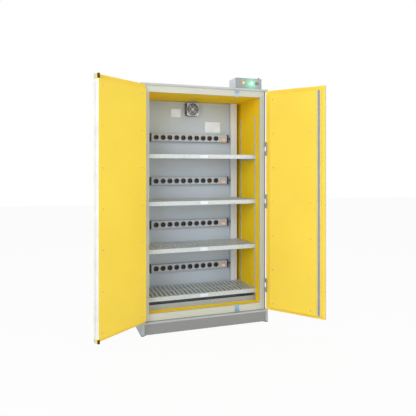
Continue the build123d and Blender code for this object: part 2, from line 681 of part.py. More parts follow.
def make_strip(level):
    """Aluminium-faced strip body, with a round pocket for each socket and one for the switch."""
    low = level - STRIP_HEIGHT / 2
    high = level + STRIP_HEIGHT / 2
    body = block(STRIP_LEFT + STRIP_CAP, STRIP_RIGHT - STRIP_CAP, STRIP_FACE, REAR_PANEL_Y, low, high)
    body = fillet(body.edges().filter_by(Axis.X).group_by(Axis.Y)[0], STRIP_EDGE_R)
    for x, z in socket_spots(level):
        body -= rod_y(x, STRIP_FACE - 1, STRIP_FACE + SOCKET_BODY + BOARD_GAP, z, SOCKET_R + SOCKET_CLEAR)
    x, z = switch_spot(level)
    body -= block(x - SWITCH_WIDTH / 2, x + SWITCH_WIDTH / 2, STRIP_FACE - 1, STRIP_FACE + SWITCH_WELL,
                  z - SWITCH_HEIGHT / 2, z + SWITCH_HEIGHT / 2)
    body -= rod_x(STRIP_RIGHT - STRIP_CAP - CABLE_SEAT, STRIP_RIGHT, CABLE_Y, level, CABLE_R)
    return body


def make_strip_caps(level):
    """Moulded end caps of one strip; the right-hand one lets the lead out."""
    low = level - STRIP_HEIGHT / 2
    high = level + STRIP_HEIGHT / 2
    left = block(STRIP_LEFT, STRIP_LEFT + STRIP_CAP, STRIP_FACE - 1.5, REAR_PANEL_Y, low - 1.5, high + 1.5)
    left = fillet(left.edges().filter_by(Axis.X).group_by(Axis.Y)[0], STRIP_EDGE_R)
    right = Pos(STRIP_LENGTH - STRIP_CAP, 0, 0) * left
    right -= rod_x(STRIP_RIGHT - STRIP_CAP - 1, STRIP_RIGHT + 1, CABLE_Y, level, CABLE_R)
    return left, right


def make_socket(x, z):
    """Round mains socket: a cup that stands a little proud, with a plug recess and two contact holes."""
    cup = rod_y(x, STRIP_FACE - SOCKET_PROUD, STRIP_FACE + SOCKET_BODY, z, SOCKET_R)
    cup -= rod_y(x, STRIP_FACE - SOCKET_PROUD - 1, STRIP_FACE - SOCKET_PROUD + SOCKET_RECESS, z, SOCKET_RECESS_R)
    for side in (-1, 1):
        cup -= rod_y(x + side * PIN_HOLE_SPREAD, STRIP_FACE, STRIP_FACE + SOCKET_BODY + 1, z, PIN_HOLE_R)
    return cup


def switch_spot(level):
    return STRIP_RIGHT - STRIP_CAP - SWITCH_FROM_END, level - SWITCH_BELOW


def make_rocker(level):
    """Lit rocker switch, shown at its middle; it tilts about its own long axis."""
    x, z = switch_spot(level)
    half = SWITCH_WIDTH / 2 - SWITCH_CLEAR
    reach = SWITCH_HEIGHT / 2 - SWITCH_CLEAR
    axle_y = STRIP_FACE + SWITCH_AXLE
    face = STRIP_FACE - SWITCH_PROUD
    with BuildPart() as rocker:
        with BuildSketch(Plane.YZ.offset(x - half)):
            with BuildLine():
                low = (face - axle_y - 1, -reach)
                high = (face - axle_y - 1, reach)
                ThreePointArc(low, (face - axle_y + SWITCH_DISH - 1, 0), high)
                Polyline(high, (SWITCH_BACK, reach * 0.35), (SWITCH_BACK, -reach * 0.35), low)
            make_face()
        extrude(amount=2 * half)
    return Pos(0, axle_y, z) * rocker.part


def make_cable(level):
    """Lead from the strip's end cap into the trunking."""
    return rod_x(STRIP_RIGHT - STRIP_CAP - CABLE_SEAT + BOARD_GAP, TRUNK_INNER + TRUNK_WALL + CABLE_SEAT, CABLE_Y,
                 level, CABLE_R - PIN_RUN)


# ---- fan -----------------------------------------------------------------------------------
def fan_front():
    return REAR_PANEL_Y - FAN_DEPTH


def make_fan_housing():
    """Square moulded housing of an axial fan: two flanges, a round duct and a motor spider."""
    half = FAN_SIZE / 2
    front = fan_front()
    flange = Pos(FAN_X, 0, FAN_Z) * Rot(-90, 0, 0) * extrude(RectangleRounded(FAN_SIZE, FAN_SIZE, FAN_CORNER_R), FAN_FLANGE)
    housing = Pos(0, front, 0) * flange + Pos(0, REAR_PANEL_Y - FAN_FLANGE, 0) * flange
    housing += rod_y(FAN_X, front, REAR_PANEL_Y, FAN_Z, half - FAN_FLANGE_IN)
    housing -= rod_y(FAN_X, front - 1, REAR_PANEL_Y + 1, FAN_Z, FAN_BORE_R)
    motor = rod_y(FAN_X, REAR_PANEL_Y - FAN_MOTOR, REAR_PANEL_Y, FAN_Z, FAN_HUB_R)
    for turn in range(4):
        arm = block(FAN_HUB_R - 2, FAN_BORE_R + 1, REAR_PANEL_Y - FAN_ARM, REAR_PANEL_Y, -FAN_ARM / 2, FAN_ARM / 2)
        motor += Pos(FAN_X, 0, FAN_Z) * Rot(0, 45 + 90 * turn, 0) * arm
    housing += motor
    housing -= rod_y(FAN_X, front, REAR_PANEL_Y - FAN_STUB, FAN_Z, FAN_AXLE_R + PIN_RUN)
    for sx in (-1, 1):
        for sz in (-1, 1):
            housing -= rod_y(FAN_X + sx * FAN_HOLE, front - 1, REAR_PANEL_Y + 1, FAN_Z + sz * FAN_HOLE, FAN_HOLE_R)
    return housing


def make_fan_rotor():
    """Hub and twisted blades of the fan, on its shaft."""
    front = fan_front() + FAN_GUARD_GAP
    back = REAR_PANEL_Y - FAN_MOTOR - 1
    rotor = rod_y(FAN_X, front, back, FAN_Z, FAN_HUB_R)
    rotor = chamfer(rotor.edges().filter_by(GeomType.CIRCLE).group_by(Axis.Y)[0], 2)
    tip = FAN_BORE_R - FAN_TIP_GAP
    depth = back - front
    blade = Pos(0, 0, 0) * Box(tip - FAN_HUB_R + 4, FAN_BLADE, depth * 0.9, align=(Align.MIN, Align.CENTER, Align.CENTER))
    for n in range(FAN_BLADES):
        turned = Rot(0, 360 / FAN_BLADES * n, 0) * Pos(FAN_HUB_R - 4, 0, 0) * Rot(90 - FAN_PITCH, 0, 0) * blade
        rotor += Pos(FAN_X, (front + back) / 2, FAN_Z) * turned
    rotor = rotor & (rod_y(FAN_X, front, back, FAN_Z, tip))
    rotor += rod_y(FAN_X, back - 1, REAR_PANEL_Y - FAN_STUB - 1, FAN_Z, FAN_AXLE_R)
    return rotor


def make_fan_guard():
    """Pressed finger guard: a square plate whose round window has rings on four spokes and a centre disc."""
    front = fan_front() - GUARD_SHEET
    guard = extrude(RectangleRounded(FAN_SIZE, FAN_SIZE, FAN_CORNER_R), GUARD_SHEET)
    guard = Pos(FAN_X, front, FAN_Z) * Rot(-90, 0, 0) * guard
    guard -= rod_y(FAN_X, front - 1, fan_front() + 1, FAN_Z, FAN_BORE_R)
    for turn in range(4):
        spoke = block(0, FAN_BORE_R + 1, front, fan_front(), -GUARD_WIRE / 2, GUARD_WIRE / 2)
        guard += Pos(FAN_X, 0, FAN_Z) * Rot(0, 45 + 90 * turn, 0) * spoke
        x = FAN_X + FAN_HOLE * (1 if turn in (0, 3) else -1)
        z = FAN_Z + FAN_HOLE * (1 if turn in (0, 1) else -1)
        guard -= rod_y(x, front - 1, fan_front() + 1, z, FAN_HOLE_R)
    guard += rod_y(FAN_X, front, fan_front(), FAN_Z, GUARD_HUB_R)
    for number in range(1, GUARD_RINGS + 1):
        middle = GUARD_HUB_R + number * GUARD_PITCH
        ring = rod_y(FAN_X, front, fan_front(), FAN_Z, middle + GUARD_WIRE / 2)
        guard += ring - rod_y(FAN_X, front - 1, fan_front() + 1, FAN_Z, middle - GUARD_WIRE / 2)
    return guard


# ---- doors (made closed on the right, then mirrored and swung open) ------------------------
def hinge_notches(x, grow=0.0):
    """The room that the knuckles need in a door's hinge edge."""
    cuts = []
    half = KNUCKLE_HEIGHT * 1.5 + 4 * KNUCKLE_GAP + grow
    for level in HINGE_LEVELS:
        cuts.append(post(x, PIN_Y, level - half, level + half, KNUCKLE_R + KNUCKLE_CLEAR + grow))
    return cuts


def cut_all(shape, cutters):
    for cutter in cutters:
        shape -= cutter
    return shape


def make_leaf(meet):
    """Outer tray of a right-hand door whose meeting edge is at x = meet."""
    leaf = block(meet, LEAF_EDGE, LEAF_FRONT, LEAF_PLANE - LEAF_SKIN, LEAF_BOTTOM, LEAF_TOP)
    leaf = fillet(leaf.edges().group_by(Axis.Y)[0], LEAF_EDGE_R)
    leaf -= block(meet + LEAF_SKIN, LEAF_EDGE - LEAF_SKIN, LEAF_FRONT + LEAF_SKIN, 0, LEAF_BOTTOM + LEAF_SKIN, LEAF_TOP - LEAF_SKIN)
    return cut_all(leaf, hinge_notches(PIN_X))


def make_inner_sheet(meet, field_end, margin):
    """Yellow inner sheet of a right-hand door: a flat margin round a raised field."""
    sheet = block(min(meet, field_end), LEAF_EDGE, LEAF_PLANE - LEAF_SKIN, LEAF_PLANE, LEAF_BOTTOM, LEAF_TOP)
    sheet -= block(min(meet, field_end) - 1, meet, LEAF_PLANE - LEAF_SKIN - 1, LEAF_PLANE + 1, LEAF_BOTTOM - 1, FIELD_BOTTOM)
    sheet -= block(min(meet, field_end) - 1, meet, LEAF_PLANE - LEAF_SKIN - 1, LEAF_PLANE + 1, FIELD_TOP, LEAF_TOP + 1)
    outer = LEAF_EDGE - margin
    field = block(field_end, outer, LEAF_PLANE - LEAF_SKIN, FIELD_FACE, FIELD_BOTTOM, FIELD_TOP)
    field = fillet(field.edges().group_by(Axis.Y)[-1], FIELD_EDGE_R)
    pocket = block(field_end + LEAF_SKIN, outer - LEAF_SKIN, LEAF_PLANE - LEAF_SKIN - 1, FIELD_FACE - LEAF_SKIN,
                   FIELD_BOTTOM + LEAF_SKIN, FIELD_TOP - LEAF_SKIN)
    if field_end < meet:
        pocket -= block(field_end - 1, meet + LEAF_SKIN, LEAF_PLANE - LEAF_SKIN - 2, LEAF_PLANE,
                        FIELD_BOTTOM - 1, FIELD_TOP + 1)
        pocket -= block(field_end - 1, meet, LEAF_PLANE - 1, LEAF_PLANE + 2, FIELD_BOTTOM - 1, FIELD_TOP + 1)
        sheet -= block(field_end - 1, meet, LEAF_PLANE - LEAF_SKIN - 1, LEAF_PLANE, LEAF_BOTTOM - 1, LEAF_TOP + 1)
        field -= block(field_end - 1, meet, LEAF_PLANE - LEAF_SKIN - 1, LEAF_PLANE + 1, FIELD_BOTTOM - 1, FIELD_TOP + 1)
    return cut_all(sheet + field - pocket, hinge_notches(PIN_X))


def make_core(meet, field_end, margin):
    """Fire-resistant core of a right-hand door, stepped to fill the raised field."""
    core = block(meet + LEAF_SKIN, LEAF_EDGE - CORE_HINGE_ROOM, LEAF_FRONT + LEAF_SKIN, LEAF_PLANE - LEAF_SKIN,
                 LEAF_BOTTOM + LEAF_SKIN, LEAF_TOP - LEAF_SKIN)
    core += block(max(meet, field_end) + LEAF_SKIN, LEAF_EDGE - margin - LEAF_SKIN, LEAF_PLANE - LEAF_SKIN,
                  FIELD_FACE - LEAF_SKIN, FIELD_BOTTOM + LEAF_SKIN, FIELD_TOP - LEAF_SKIN)
    return core


def make_screw(x, y, z):
    """Low screw head with a bevelled rim, facing +Y."""
    head = rod_y(x, y, y + SCREW_PROUD, z, SCREW_R)
    return chamfer(head.edges().filter_by(GeomType.CIRCLE).group_by(Axis.Y)[-1], SCREW_PROUD / 2)


def make_door_screws(insets):
    """Screws that hold the inner sheet, in two columns, and the hinge screw pairs in the flat margin."""
    screws = []
    for inset in insets:
        for row in range(SCREW_ROWS):
            screws.append(make_screw(LEAF_EDGE - inset, FIELD_FACE, SCREW_FIRST + row * SCREW_PITCH))
    for level in HINGE_LEVELS[1:]:
        for step in (-STUD_SPREAD / 2, STUD_SPREAD / 2):
            screws.append(rod_y(LEAF_EDGE - STUD_INSET, LEAF_PLANE, LEAF_PLANE + STUD_PROUD, level + step, STUD_R))
    return screws


def make_wall_studs():
    """Pairs of hinge screws in the right-hand inner wall, just behind the frame."""
    studs = []
    for level in HINGE_LEVELS[1:]:
        for step in (-STUD_SPREAD / 2, STUD_SPREAD / 2):
            studs.append(rod_x(OPEN_HALF - STUD_PROUD, OPEN_HALF, WALL_STUD_Y, level + step, STUD_R))
    return studs


def make_hinge_fixed():
    """Body leaves of the right-hand hinges: upper and lower knuckles, each on a tab and a foot on the frame."""
    leaves = []
    for level in HINGE_LEVELS:
        for side in (-1, 1):
            z0 = level + side * (KNUCKLE_HEIGHT + KNUCKLE_GAP) - KNUCKLE_HEIGHT / 2
            z1 = z0 + KNUCKLE_HEIGHT
            leaf = post(PIN_X, PIN_Y, z0, z1, KNUCKLE_R)
            leaf += block(PIN_X - HINGE_TAB, PIN_X, PIN_Y, 0, z0, z1)
            leaf += block(BODY_HALF - HINGE_FOOT, BODY_HALF, -HINGE_PLATE, 0, z0, z1)
            leaves.append(leaf - post(PIN_X, PIN_Y, z0 - 1, z1 + 1, PIN_R + PIN_RUN))
    return leaves


def make_hinge_pins():
    """Headed pins of the right-hand hinges."""
    pins = []
    half = KNUCKLE_HEIGHT * 1.5 + KNUCKLE_GAP
    for level in HINGE_LEVELS:
        pin = post(PIN_X, PIN_Y, level - half, level + half, PIN_R)
        pins.append(pin + post(PIN_X, PIN_Y, level + half, level + half + KNUCKLE_GAP * 2, KNUCKLE_R - 1))
    return pins


def make_hinge_moving():
    """Door leaves of the right-hand hinges: the middle knuckle and a plate on the door's edge."""
    leaves = []
    for level in HINGE_LEVELS:
        z0 = level - KNUCKLE_HEIGHT / 2
        z1 = z0 + KNUCKLE_HEIGHT
        leaf = post(PIN_X, PIN_Y, z0, z1, KNUCKLE_R)
        leaf += block(LEAF_EDGE, LEAF_EDGE + HINGE_PLATE, LEAF_FRONT + LEAF_EDGE_R + 2, PIN_Y, z0, z1)
        leaves.append(leaf - post(PIN_X, PIN_Y, z0 - 1, z1 + 1, PIN_R + PIN_RUN))
    return leaves


def make_meeting_bar():
    """Grey seal channel along the raised field's meeting edge: two lips and a sunk web."""
    bar = block(RIGHT_FIELD_END + FIELD_EDGE_R, RIGHT_FIELD_END + FIELD_EDGE_R + BAR_WIDTH, FIELD_FACE,
                FIELD_FACE + BAR_THICK, FIELD_BOTTOM + FIELD_EDGE_R, FIELD_TOP - FIELD_EDGE_R)
    x0 = RIGHT_FIELD_END + FIELD_EDGE_R
    bar -= block(x0 + BAR_LIP, x0 + BAR_WIDTH - BAR_LIP, FIELD_FACE + BAR_WEB, FIELD_FACE + BAR_THICK + 1,
                 FIELD_BOTTOM, FIELD_TOP)
    return bar


def make_edge_seals():
    """Pale strips on the left door's meeting edge (drawn on the right)."""
    inner = block(LEFT_FIELD_END - EDGE_SEAL_THICK, LEFT_FIELD_END, LEAF_PLANE + 3, FIELD_FACE - FIELD_EDGE_R,
                  FIELD_BOTTOM + FIELD_EDGE_R, FIELD_TOP - FIELD_EDGE_R)
    outer = block(LEFT_SETBACK - EDGE_SEAL_THICK, LEFT_SETBACK, LEAF_FRONT + LEAF_EDGE_R + 1, LEAF_PLANE - 8,
                  FIELD_BOTTOM, FIELD_TOP)
    return inner, outer


def make_bolt_bracket(low, high):
    """Folded bracket on the left door's margin that carries a bolt's guide block (true side)."""
    back = FIELD_FACE - EDGE_BLOCK_DEPTH
    body = block(BOLT_X - EDGE_BLOCK / 2, BOLT_X + EDGE_BLOCK / 2, LEAF_PLANE, back, low, high)
    body -= block(-LEFT_SETBACK, 0, LEAF_PLANE - 1, LEAF_PLANE + LEAF_SKIN, low - 1, high + 1)
    return body


def make_bolt_block(low, high):
    """Black guide block of an edge bolt on the left door (true side)."""
    body = block(BOLT_X - EDGE_BLOCK / 2, BOLT_X + EDGE_BLOCK / 2, FIELD_FACE - EDGE_BLOCK_DEPTH, FIELD_FACE, low, high)
    return body - post(BOLT_X, BOLT_Y, low - 1, high + 1, EDGE_BOLT_R + BOLT_PLAY)


def make_rod(x, y, tip, length, radius):
    """Upright bolt with a chamfered tip; a negative length runs down from the tip, a positive one up."""
    low, high = sorted((tip, tip + length))
    rod = post(x, y, low, high, radius)
    ends = rod.edges().filter_by(GeomType.CIRCLE).group_by(Axis.Z)
    return chamfer(ends[-1] if length < 0 else ends[0], BOLT_CHAMFER)


def bolt_holes():
    """Upper and lower bores for the left door's edge bolts."""
    reach = EDGE_BOLT_LENGTH + BOLT_PLAY
    up = post(BOLT_X, BOLT_Y, LEAF_TOP - reach - BOLT_TIP, LEAF_TOP + 1, EDGE_BOLT_R + BOLT_PLAY)
    down = post(BOLT_X, BOLT_Y, LEAF_BOTTOM - 1, LEAF_BOTTOM + reach + BOLT_TIP, EDGE_BOLT_R + BOLT_PLAY)
    return up, down


def latch_holes():
    """Upper and lower bores for the right door's latch rods."""
    reach = LATCH_LENGTH + 2 * BOLT_TIP
    up = post(LATCH_X, LATCH_Y, FIELD_TOP - reach, FIELD_TOP + 1, LATCH_R + BOLT_PLAY)
    down = post(LATCH_X, LATCH_Y, FIELD_BOTTOM - 1, FIELD_BOTTOM + reach, LATCH_R + BOLT_PLAY)
    return up, down


def handle_x():
    return LEAF_EDGE - HANDLE_INSET


def make_handle_base():
    """Escutcheon on the right door's outer face, with the lock cylinder under the spindle."""
    x = handle_x()
    plate = block(x - HANDLE_PLATE_W / 2, x + HANDLE_PLATE_W / 2, LEAF_FRONT - HANDLE_PLATE_T, LEAF_FRONT,
                  HANDLE_Z - HANDLE_PLATE_H * 0.66, HANDLE_Z + HANDLE_PLATE_H * 0.34)
    plate = fillet(plate.edges().filter_by(Axis.Y), HANDLE_PLATE_W * 0.35)
    plate = chamfer(plate.edges().group_by(Axis.Y)[0], 1.5)
    plate -= rod_y(x, LEAF_FRONT - HANDLE_PLATE_T - 1, LEAF_FRONT - 3, HANDLE_Z, SPINDLE_R + BOLT_PLAY)
    lock_z = HANDLE_Z - HANDLE_PLATE_H * 0.42
    plate += rod_y(x, LEAF_FRONT - HANDLE_PLATE_T - LOCK_PROUD, LEAF_FRONT - HANDLE_PLATE_T, lock_z, LOCK_R)
    plate -= block(x - 1, x + 1, LEAF_FRONT - HANDLE_PLATE_T - LOCK_PROUD - 1, LEAF_FRONT - HANDLE_PLATE_T - LOCK_PROUD + 6,
                   lock_z - LOCK_R * 0.55, lock_z + LOCK_R * 0.55)
    return plate


def make_handle_lever():
    """Lever handle, drawn level: unlatched. It turns down through a quarter turn to latch."""
    x = handle_x()
    face = LEAF_FRONT - HANDLE_PLATE_T
    neck = rod_y(x, face - LEVER_STAND, LEAF_FRONT - 3 - BOLT_PLAY, HANDLE_Z, SPINDLE_R)
    grip = block(x - SPINDLE_R, x + HANDLE_LENGTH, face - LEVER_STAND - LEVER_T, face - LEVER_STAND,
                 HANDLE_Z - LEVER_W / 2, HANDLE_Z + LEVER_W / 2)
    grip = fillet(grip.edges().filter_by(Axis.Y), LEVER_W * 0.4)
    grip = chamfer(grip.edges().group_by(Axis.Y)[0], 2)
    return neck + grip


# ---- on the lid ----------------------------------------------------------------------------
def make_control_box():
    """Open-fronted sheet box for the controls."""
    x0, x1 = BOX_LEFT, BOX_LEFT + BOX_WIDTH
    y0, y1 = BOX_FRONT, BOX_FRONT + BOX_DEPTH
    z0, z1 = LID_TOP, LID_TOP + BOX_HEIGHT
    box = block(x0, x1, y0 + BOX_WALL, y1, z0, z1)
    box = fillet(box.edges().filter_by(Axis.Y), BOX_EDGE_R)
    box -= block(x0 + BOX_WALL, x1 - BOX_WALL, y0, y1 - BOX_WALL, z0 + BOX_WALL, z1 - BOX_WALL)
    box -= post(GLAND_X, GLAND_Y, z1 - BOX_WALL - 1, z1 + 1, GLAND_BORE)
    return box


def make_control_cover():
    """Front cover of the control box, with holes for two lamps and a button."""
    x0, x1 = BOX_LEFT, BOX_LEFT + BOX_WIDTH
    z0, z1 = LID_TOP, LID_TOP + BOX_HEIGHT
    cover = block(x0, x1, BOX_FRONT, BOX_FRONT + BOX_WALL, z0, z1)
    cover = fillet(cover.edges().filter_by(Axis.Y), BOX_EDGE_R)
    for spot in list(LAMP_SPOTS.values()) + [BUTTON_SPOT]:
        cover -= rod_y(x0 + spot, BOX_FRONT - 1, BOX_FRONT + BOX_WALL + 1, z0 + LAMP_Z, LAMP_STEM_R + BOLT_PLAY)
    return cover


def make_lamp(spot):
    """Indicator lamp: a lens with a bevelled rim, and the stem through the cover."""
    x, z = BOX_LEFT + spot, LID_TOP + LAMP_Z
    lens = rod_y(x, BOX_FRONT - LAMP_PROUD, BOX_FRONT, z, LAMP_R)
    lens = chamfer(lens.edges().filter_by(GeomType.CIRCLE).group_by(Axis.Y)[0], LAMP_BEVEL)
    return lens + rod_y(x, BOX_FRONT, BOX_FRONT + LAMP_STEM, z, LAMP_STEM_R)


def make_button():
    """Red reset button: a cap that stands clear of the cover by its travel, on a stem."""
    x, z = BOX_LEFT + BUTTON_SPOT, LID_TOP + LAMP_Z
    cap = rod_y(x, BOX_FRONT - BUTTON_TRAVEL - BUTTON_CAP, BOX_FRONT - BUTTON_TRAVEL - BUTTON_CLEAR, z, LAMP_R)
    cap = chamfer(cap.edges().filter_by(GeomType.CIRCLE).group_by(Axis.Y)[0], BUTTON_BEVEL)
    return cap + rod_y(x, BOX_FRONT - BUTTON_TRAVEL - BUTTON_CLEAR, BOX_FRONT + LAMP_STEM, z, LAMP_STEM_R)


def make_gland():
    """Cable gland on the control box: a hexagon on a flange, with its nut inside."""
    top = LID_TOP + BOX_HEIGHT
    body = Pos(GLAND_X, GLAND_Y, top) * extrude(RegularPolygon(GLAND_R, 6), GLAND_HEIGHT * 0.55)
    body += post(GLAND_X, GLAND_Y, top + GLAND_HEIGHT * 0.55, top + GLAND_HEIGHT, GLAND_R * 0.75)
    body += post(GLAND_X, GLAND_Y, top - BOX_WALL - 4, top, GLAND_BORE - BOARD_GAP)
    return body - post(GLAND_X, GLAND_Y, top - 10, top + GLAND_HEIGHT + 1, GLAND_BORE - 3)


# ---- write the nodes -----------------------------------------------------------------------
def swing(shape, side):
    """Turns a closed right-hand door piece to its open place; side -1 mirrors it to the left first."""
    angle = RIGHT_OPEN if side > 0 else -LEFT_OPEN
    if side < 0:
        shape = mirror_x(shape)
    return Pos(side * PIN_X, PIN_Y) * Rot(0, 0, angle) * Pos(-side * PIN_X, -PIN_Y) * shape


def swing_left(shape):
    """Turns a piece already drawn on the closed left door to its open place."""
    return Pos(-PIN_X, PIN_Y) * Rot(0, 0, -LEFT_OPEN) * Pos(PIN_X, -PIN_Y) * shape


def write_body():
    save("floor_frame", make_floor_frame())
    save("plinth_shell", make_plinth_shell())
    save("kick_panel", make_kick_panel())
    side = make_side_panel()
    save("side_panels", side, mirror_x(side))
    save("rear_casing", make_rear_casing())
    save("casing_pans", make_roof_pan(), make_floor_pan())
    save("lid", make_lid())
    save("fire_boards", *make_boards())
    save("door_frame", make_frame())
    save("frame_seals", *make_frame_seals())
    save("lining", *make_lining())
    save("exhaust_spigot", make_exhaust_spigot())
    studs = make_wall_studs()
    keepers = [
        make_keeper(OPENING_TOP - KEEPER_OVERLAP, KEEPER_TOP, KEEPER_TOP_TAB),
        make_keeper(OPENING_BOTTOM + KEEPER_OVERLAP, KEEPER_BOTTOM, KEEPER_LOW_TAB),
    ]
    save("frame_fittings", *keepers, *studs, *[mirror_x(stud) for stud in studs])
    leaves = make_hinge_fixed()
    save("hinge_body_leaves", *leaves, *[mirror_x(leaf) for leaf in leaves])
    pins = make_hinge_pins()
    save("hinge_pins", *pins, *[mirror_x(pin) for pin in pins])


def write_inside():
    save("rear_panel", make_rear_panel())
    channel, cover = make_trunking()
    save("trunking", channel, cover, mirror_x(channel), mirror_x(cover))
    rails = make_rails()
    save("shelf_carriers", *rails, *[mirror_x(rail) for rail in rails], *make_brackets())
    for number, top in enumerate(reversed(SHELF_TOPS), start=1):
        save(f"shelf_{number}", make_shelf(top))
    save("label_plates", *make_label_plates())
    save("sump_tray", make_sump())
    save("strip_bodies", *[make_strip(level) for level in STRIP_LEVELS])
    ends = []
    for level in STRIP_LEVELS:
        ends += [*make_strip_caps(level), make_cable(level)]
    save("strip_ends", *ends)
    save("sockets", *[make_socket(x, z) for level in STRIP_LEVELS for x, z in socket_spots(level)])
    for number, level in enumerate(reversed(STRIP_LEVELS), start=1):
        save(f"rocker_{number}", make_rocker(level))
    save("fan_housing", make_fan_housing())
    save("fan_rotor", make_fan_rotor())
    save("fan_guard", make_fan_guard())


def write_lid_fittings():
    save("control_box", make_control_box())
    save("control_cover", make_control_cover())
    for name, spot in LAMP_SPOTS.items():
        save(name, make_lamp(spot))
    save("red_button", make_button())
    save("box_gland", make_gland())


def write_left_door():
    save("left_leaf", swing(make_leaf(LEFT_SETBACK), -1))
    core = cut_all(mirror_x(make_core(LEFT_SETBACK, LEFT_FIELD_END, LEFT_HINGE_MARGIN)), bolt_holes())
    save("left_core", swing_left(core))
    sheet = mirror_x(make_inner_sheet(LEFT_SETBACK, LEFT_FIELD_END, LEFT_HINGE_MARGIN))
    for low, high in BOLT_ENDS:
        sheet += make_bolt_bracket(low, high)
    sheet = cut_all(sheet, bolt_holes())
    save("left_inner_sheet", swing_left(sheet))
    save("left_screws", *[swing(screw, -1) for screw in make_door_screws(LEFT_SCREWS)])
    save("left_edge_seals", *[swing(seal, -1) for seal in make_edge_seals()])
    save("left_bolt_blocks", *[swing_left(make_bolt_block(low, high)) for low, high in BOLT_ENDS])
    save("left_bolt_upper", swing_left(make_rod(BOLT_X, BOLT_Y, LEAF_TOP, -EDGE_BOLT_LENGTH, EDGE_BOLT_R)))
    save("left_bolt_lower", swing_left(make_rod(BOLT_X, BOLT_Y, LEAF_BOTTOM, EDGE_BOLT_LENGTH, EDGE_BOLT_R)))
    save("left_hinge_leaves", *[swing(leaf, -1) for leaf in make_hinge_moving()])


def write_right_door():
    save("right_leaf", swing(make_leaf(-LIP_REACH), 1))
    save("right_core", swing(cut_all(make_core(-LIP_REACH, RIGHT_FIELD_END, RIGHT_HINGE_MARGIN), latch_holes()), 1))
    sheet = cut_all(make_inner_sheet(-LIP_REACH, RIGHT_FIELD_END, RIGHT_HINGE_MARGIN), latch_holes())
    save("right_inner_sheet", swing(sheet, 1))
    save("right_screws", *[swing(screw, 1) for screw in make_door_screws(RIGHT_SCREWS)])
    save("meeting_bar", swing(make_meeting_bar(), 1))
    save("latch_upper", swing(make_rod(LATCH_X, LATCH_Y, FIELD_TOP - BOLT_SUNK, -LATCH_LENGTH, LATCH_R), 1))
    save("latch_lower", swing(make_rod(LATCH_X, LATCH_Y, FIELD_BOTTOM + BOLT_SUNK, LATCH_LENGTH, LATCH_R), 1))
    save("handle_base", swing(make_handle_base(), 1))
    save("handle_lever", swing(make_handle_lever(), 1))
    save("right_hinge_leaves", *[swing(leaf, 1) for leaf in make_hinge_moving()])


if __name__ == "__main__":
    write_body()
    write_inside()
    write_lid_fittings()
    write_left_door()
    write_right_door()
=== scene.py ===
"""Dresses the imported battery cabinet: finishes, small fasteners, fittings, floor, lights and camera."""

from __future__ import annotations

import logging
import math
from dataclasses import dataclass, field
from enum import Enum
from typing import Any, Iterable, Sequence

import bmesh
import bpy
from mathutils import Euler, Matrix, Vector

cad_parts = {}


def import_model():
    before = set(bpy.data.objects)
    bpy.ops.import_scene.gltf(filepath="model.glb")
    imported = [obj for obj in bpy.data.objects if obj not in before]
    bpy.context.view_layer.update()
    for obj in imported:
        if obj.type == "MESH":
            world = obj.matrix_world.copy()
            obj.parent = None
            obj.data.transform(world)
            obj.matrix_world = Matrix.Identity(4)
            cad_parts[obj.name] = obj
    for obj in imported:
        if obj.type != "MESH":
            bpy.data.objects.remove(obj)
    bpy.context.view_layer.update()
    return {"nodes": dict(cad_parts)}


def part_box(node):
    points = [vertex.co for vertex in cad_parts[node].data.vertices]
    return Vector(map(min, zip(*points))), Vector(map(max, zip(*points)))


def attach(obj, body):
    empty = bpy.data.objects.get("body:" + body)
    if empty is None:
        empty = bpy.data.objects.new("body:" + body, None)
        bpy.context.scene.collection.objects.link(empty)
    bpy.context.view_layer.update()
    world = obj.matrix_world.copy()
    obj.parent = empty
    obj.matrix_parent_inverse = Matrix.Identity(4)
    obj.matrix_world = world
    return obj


LOG = logging.getLogger("cabinet")
MM = 0.001
Colour = tuple[float, float, float]


class Body(Enum):
    """Rigid bodies of the cabinet that take pieces."""

    CABINET = "cabinet"
    LEFT_DOOR = "left_door"
    RIGHT_DOOR = "right_door"


class Drive(Enum):
    """What is cut into the head of a screw."""

    HEXAGON = 6
    ROUND = 16


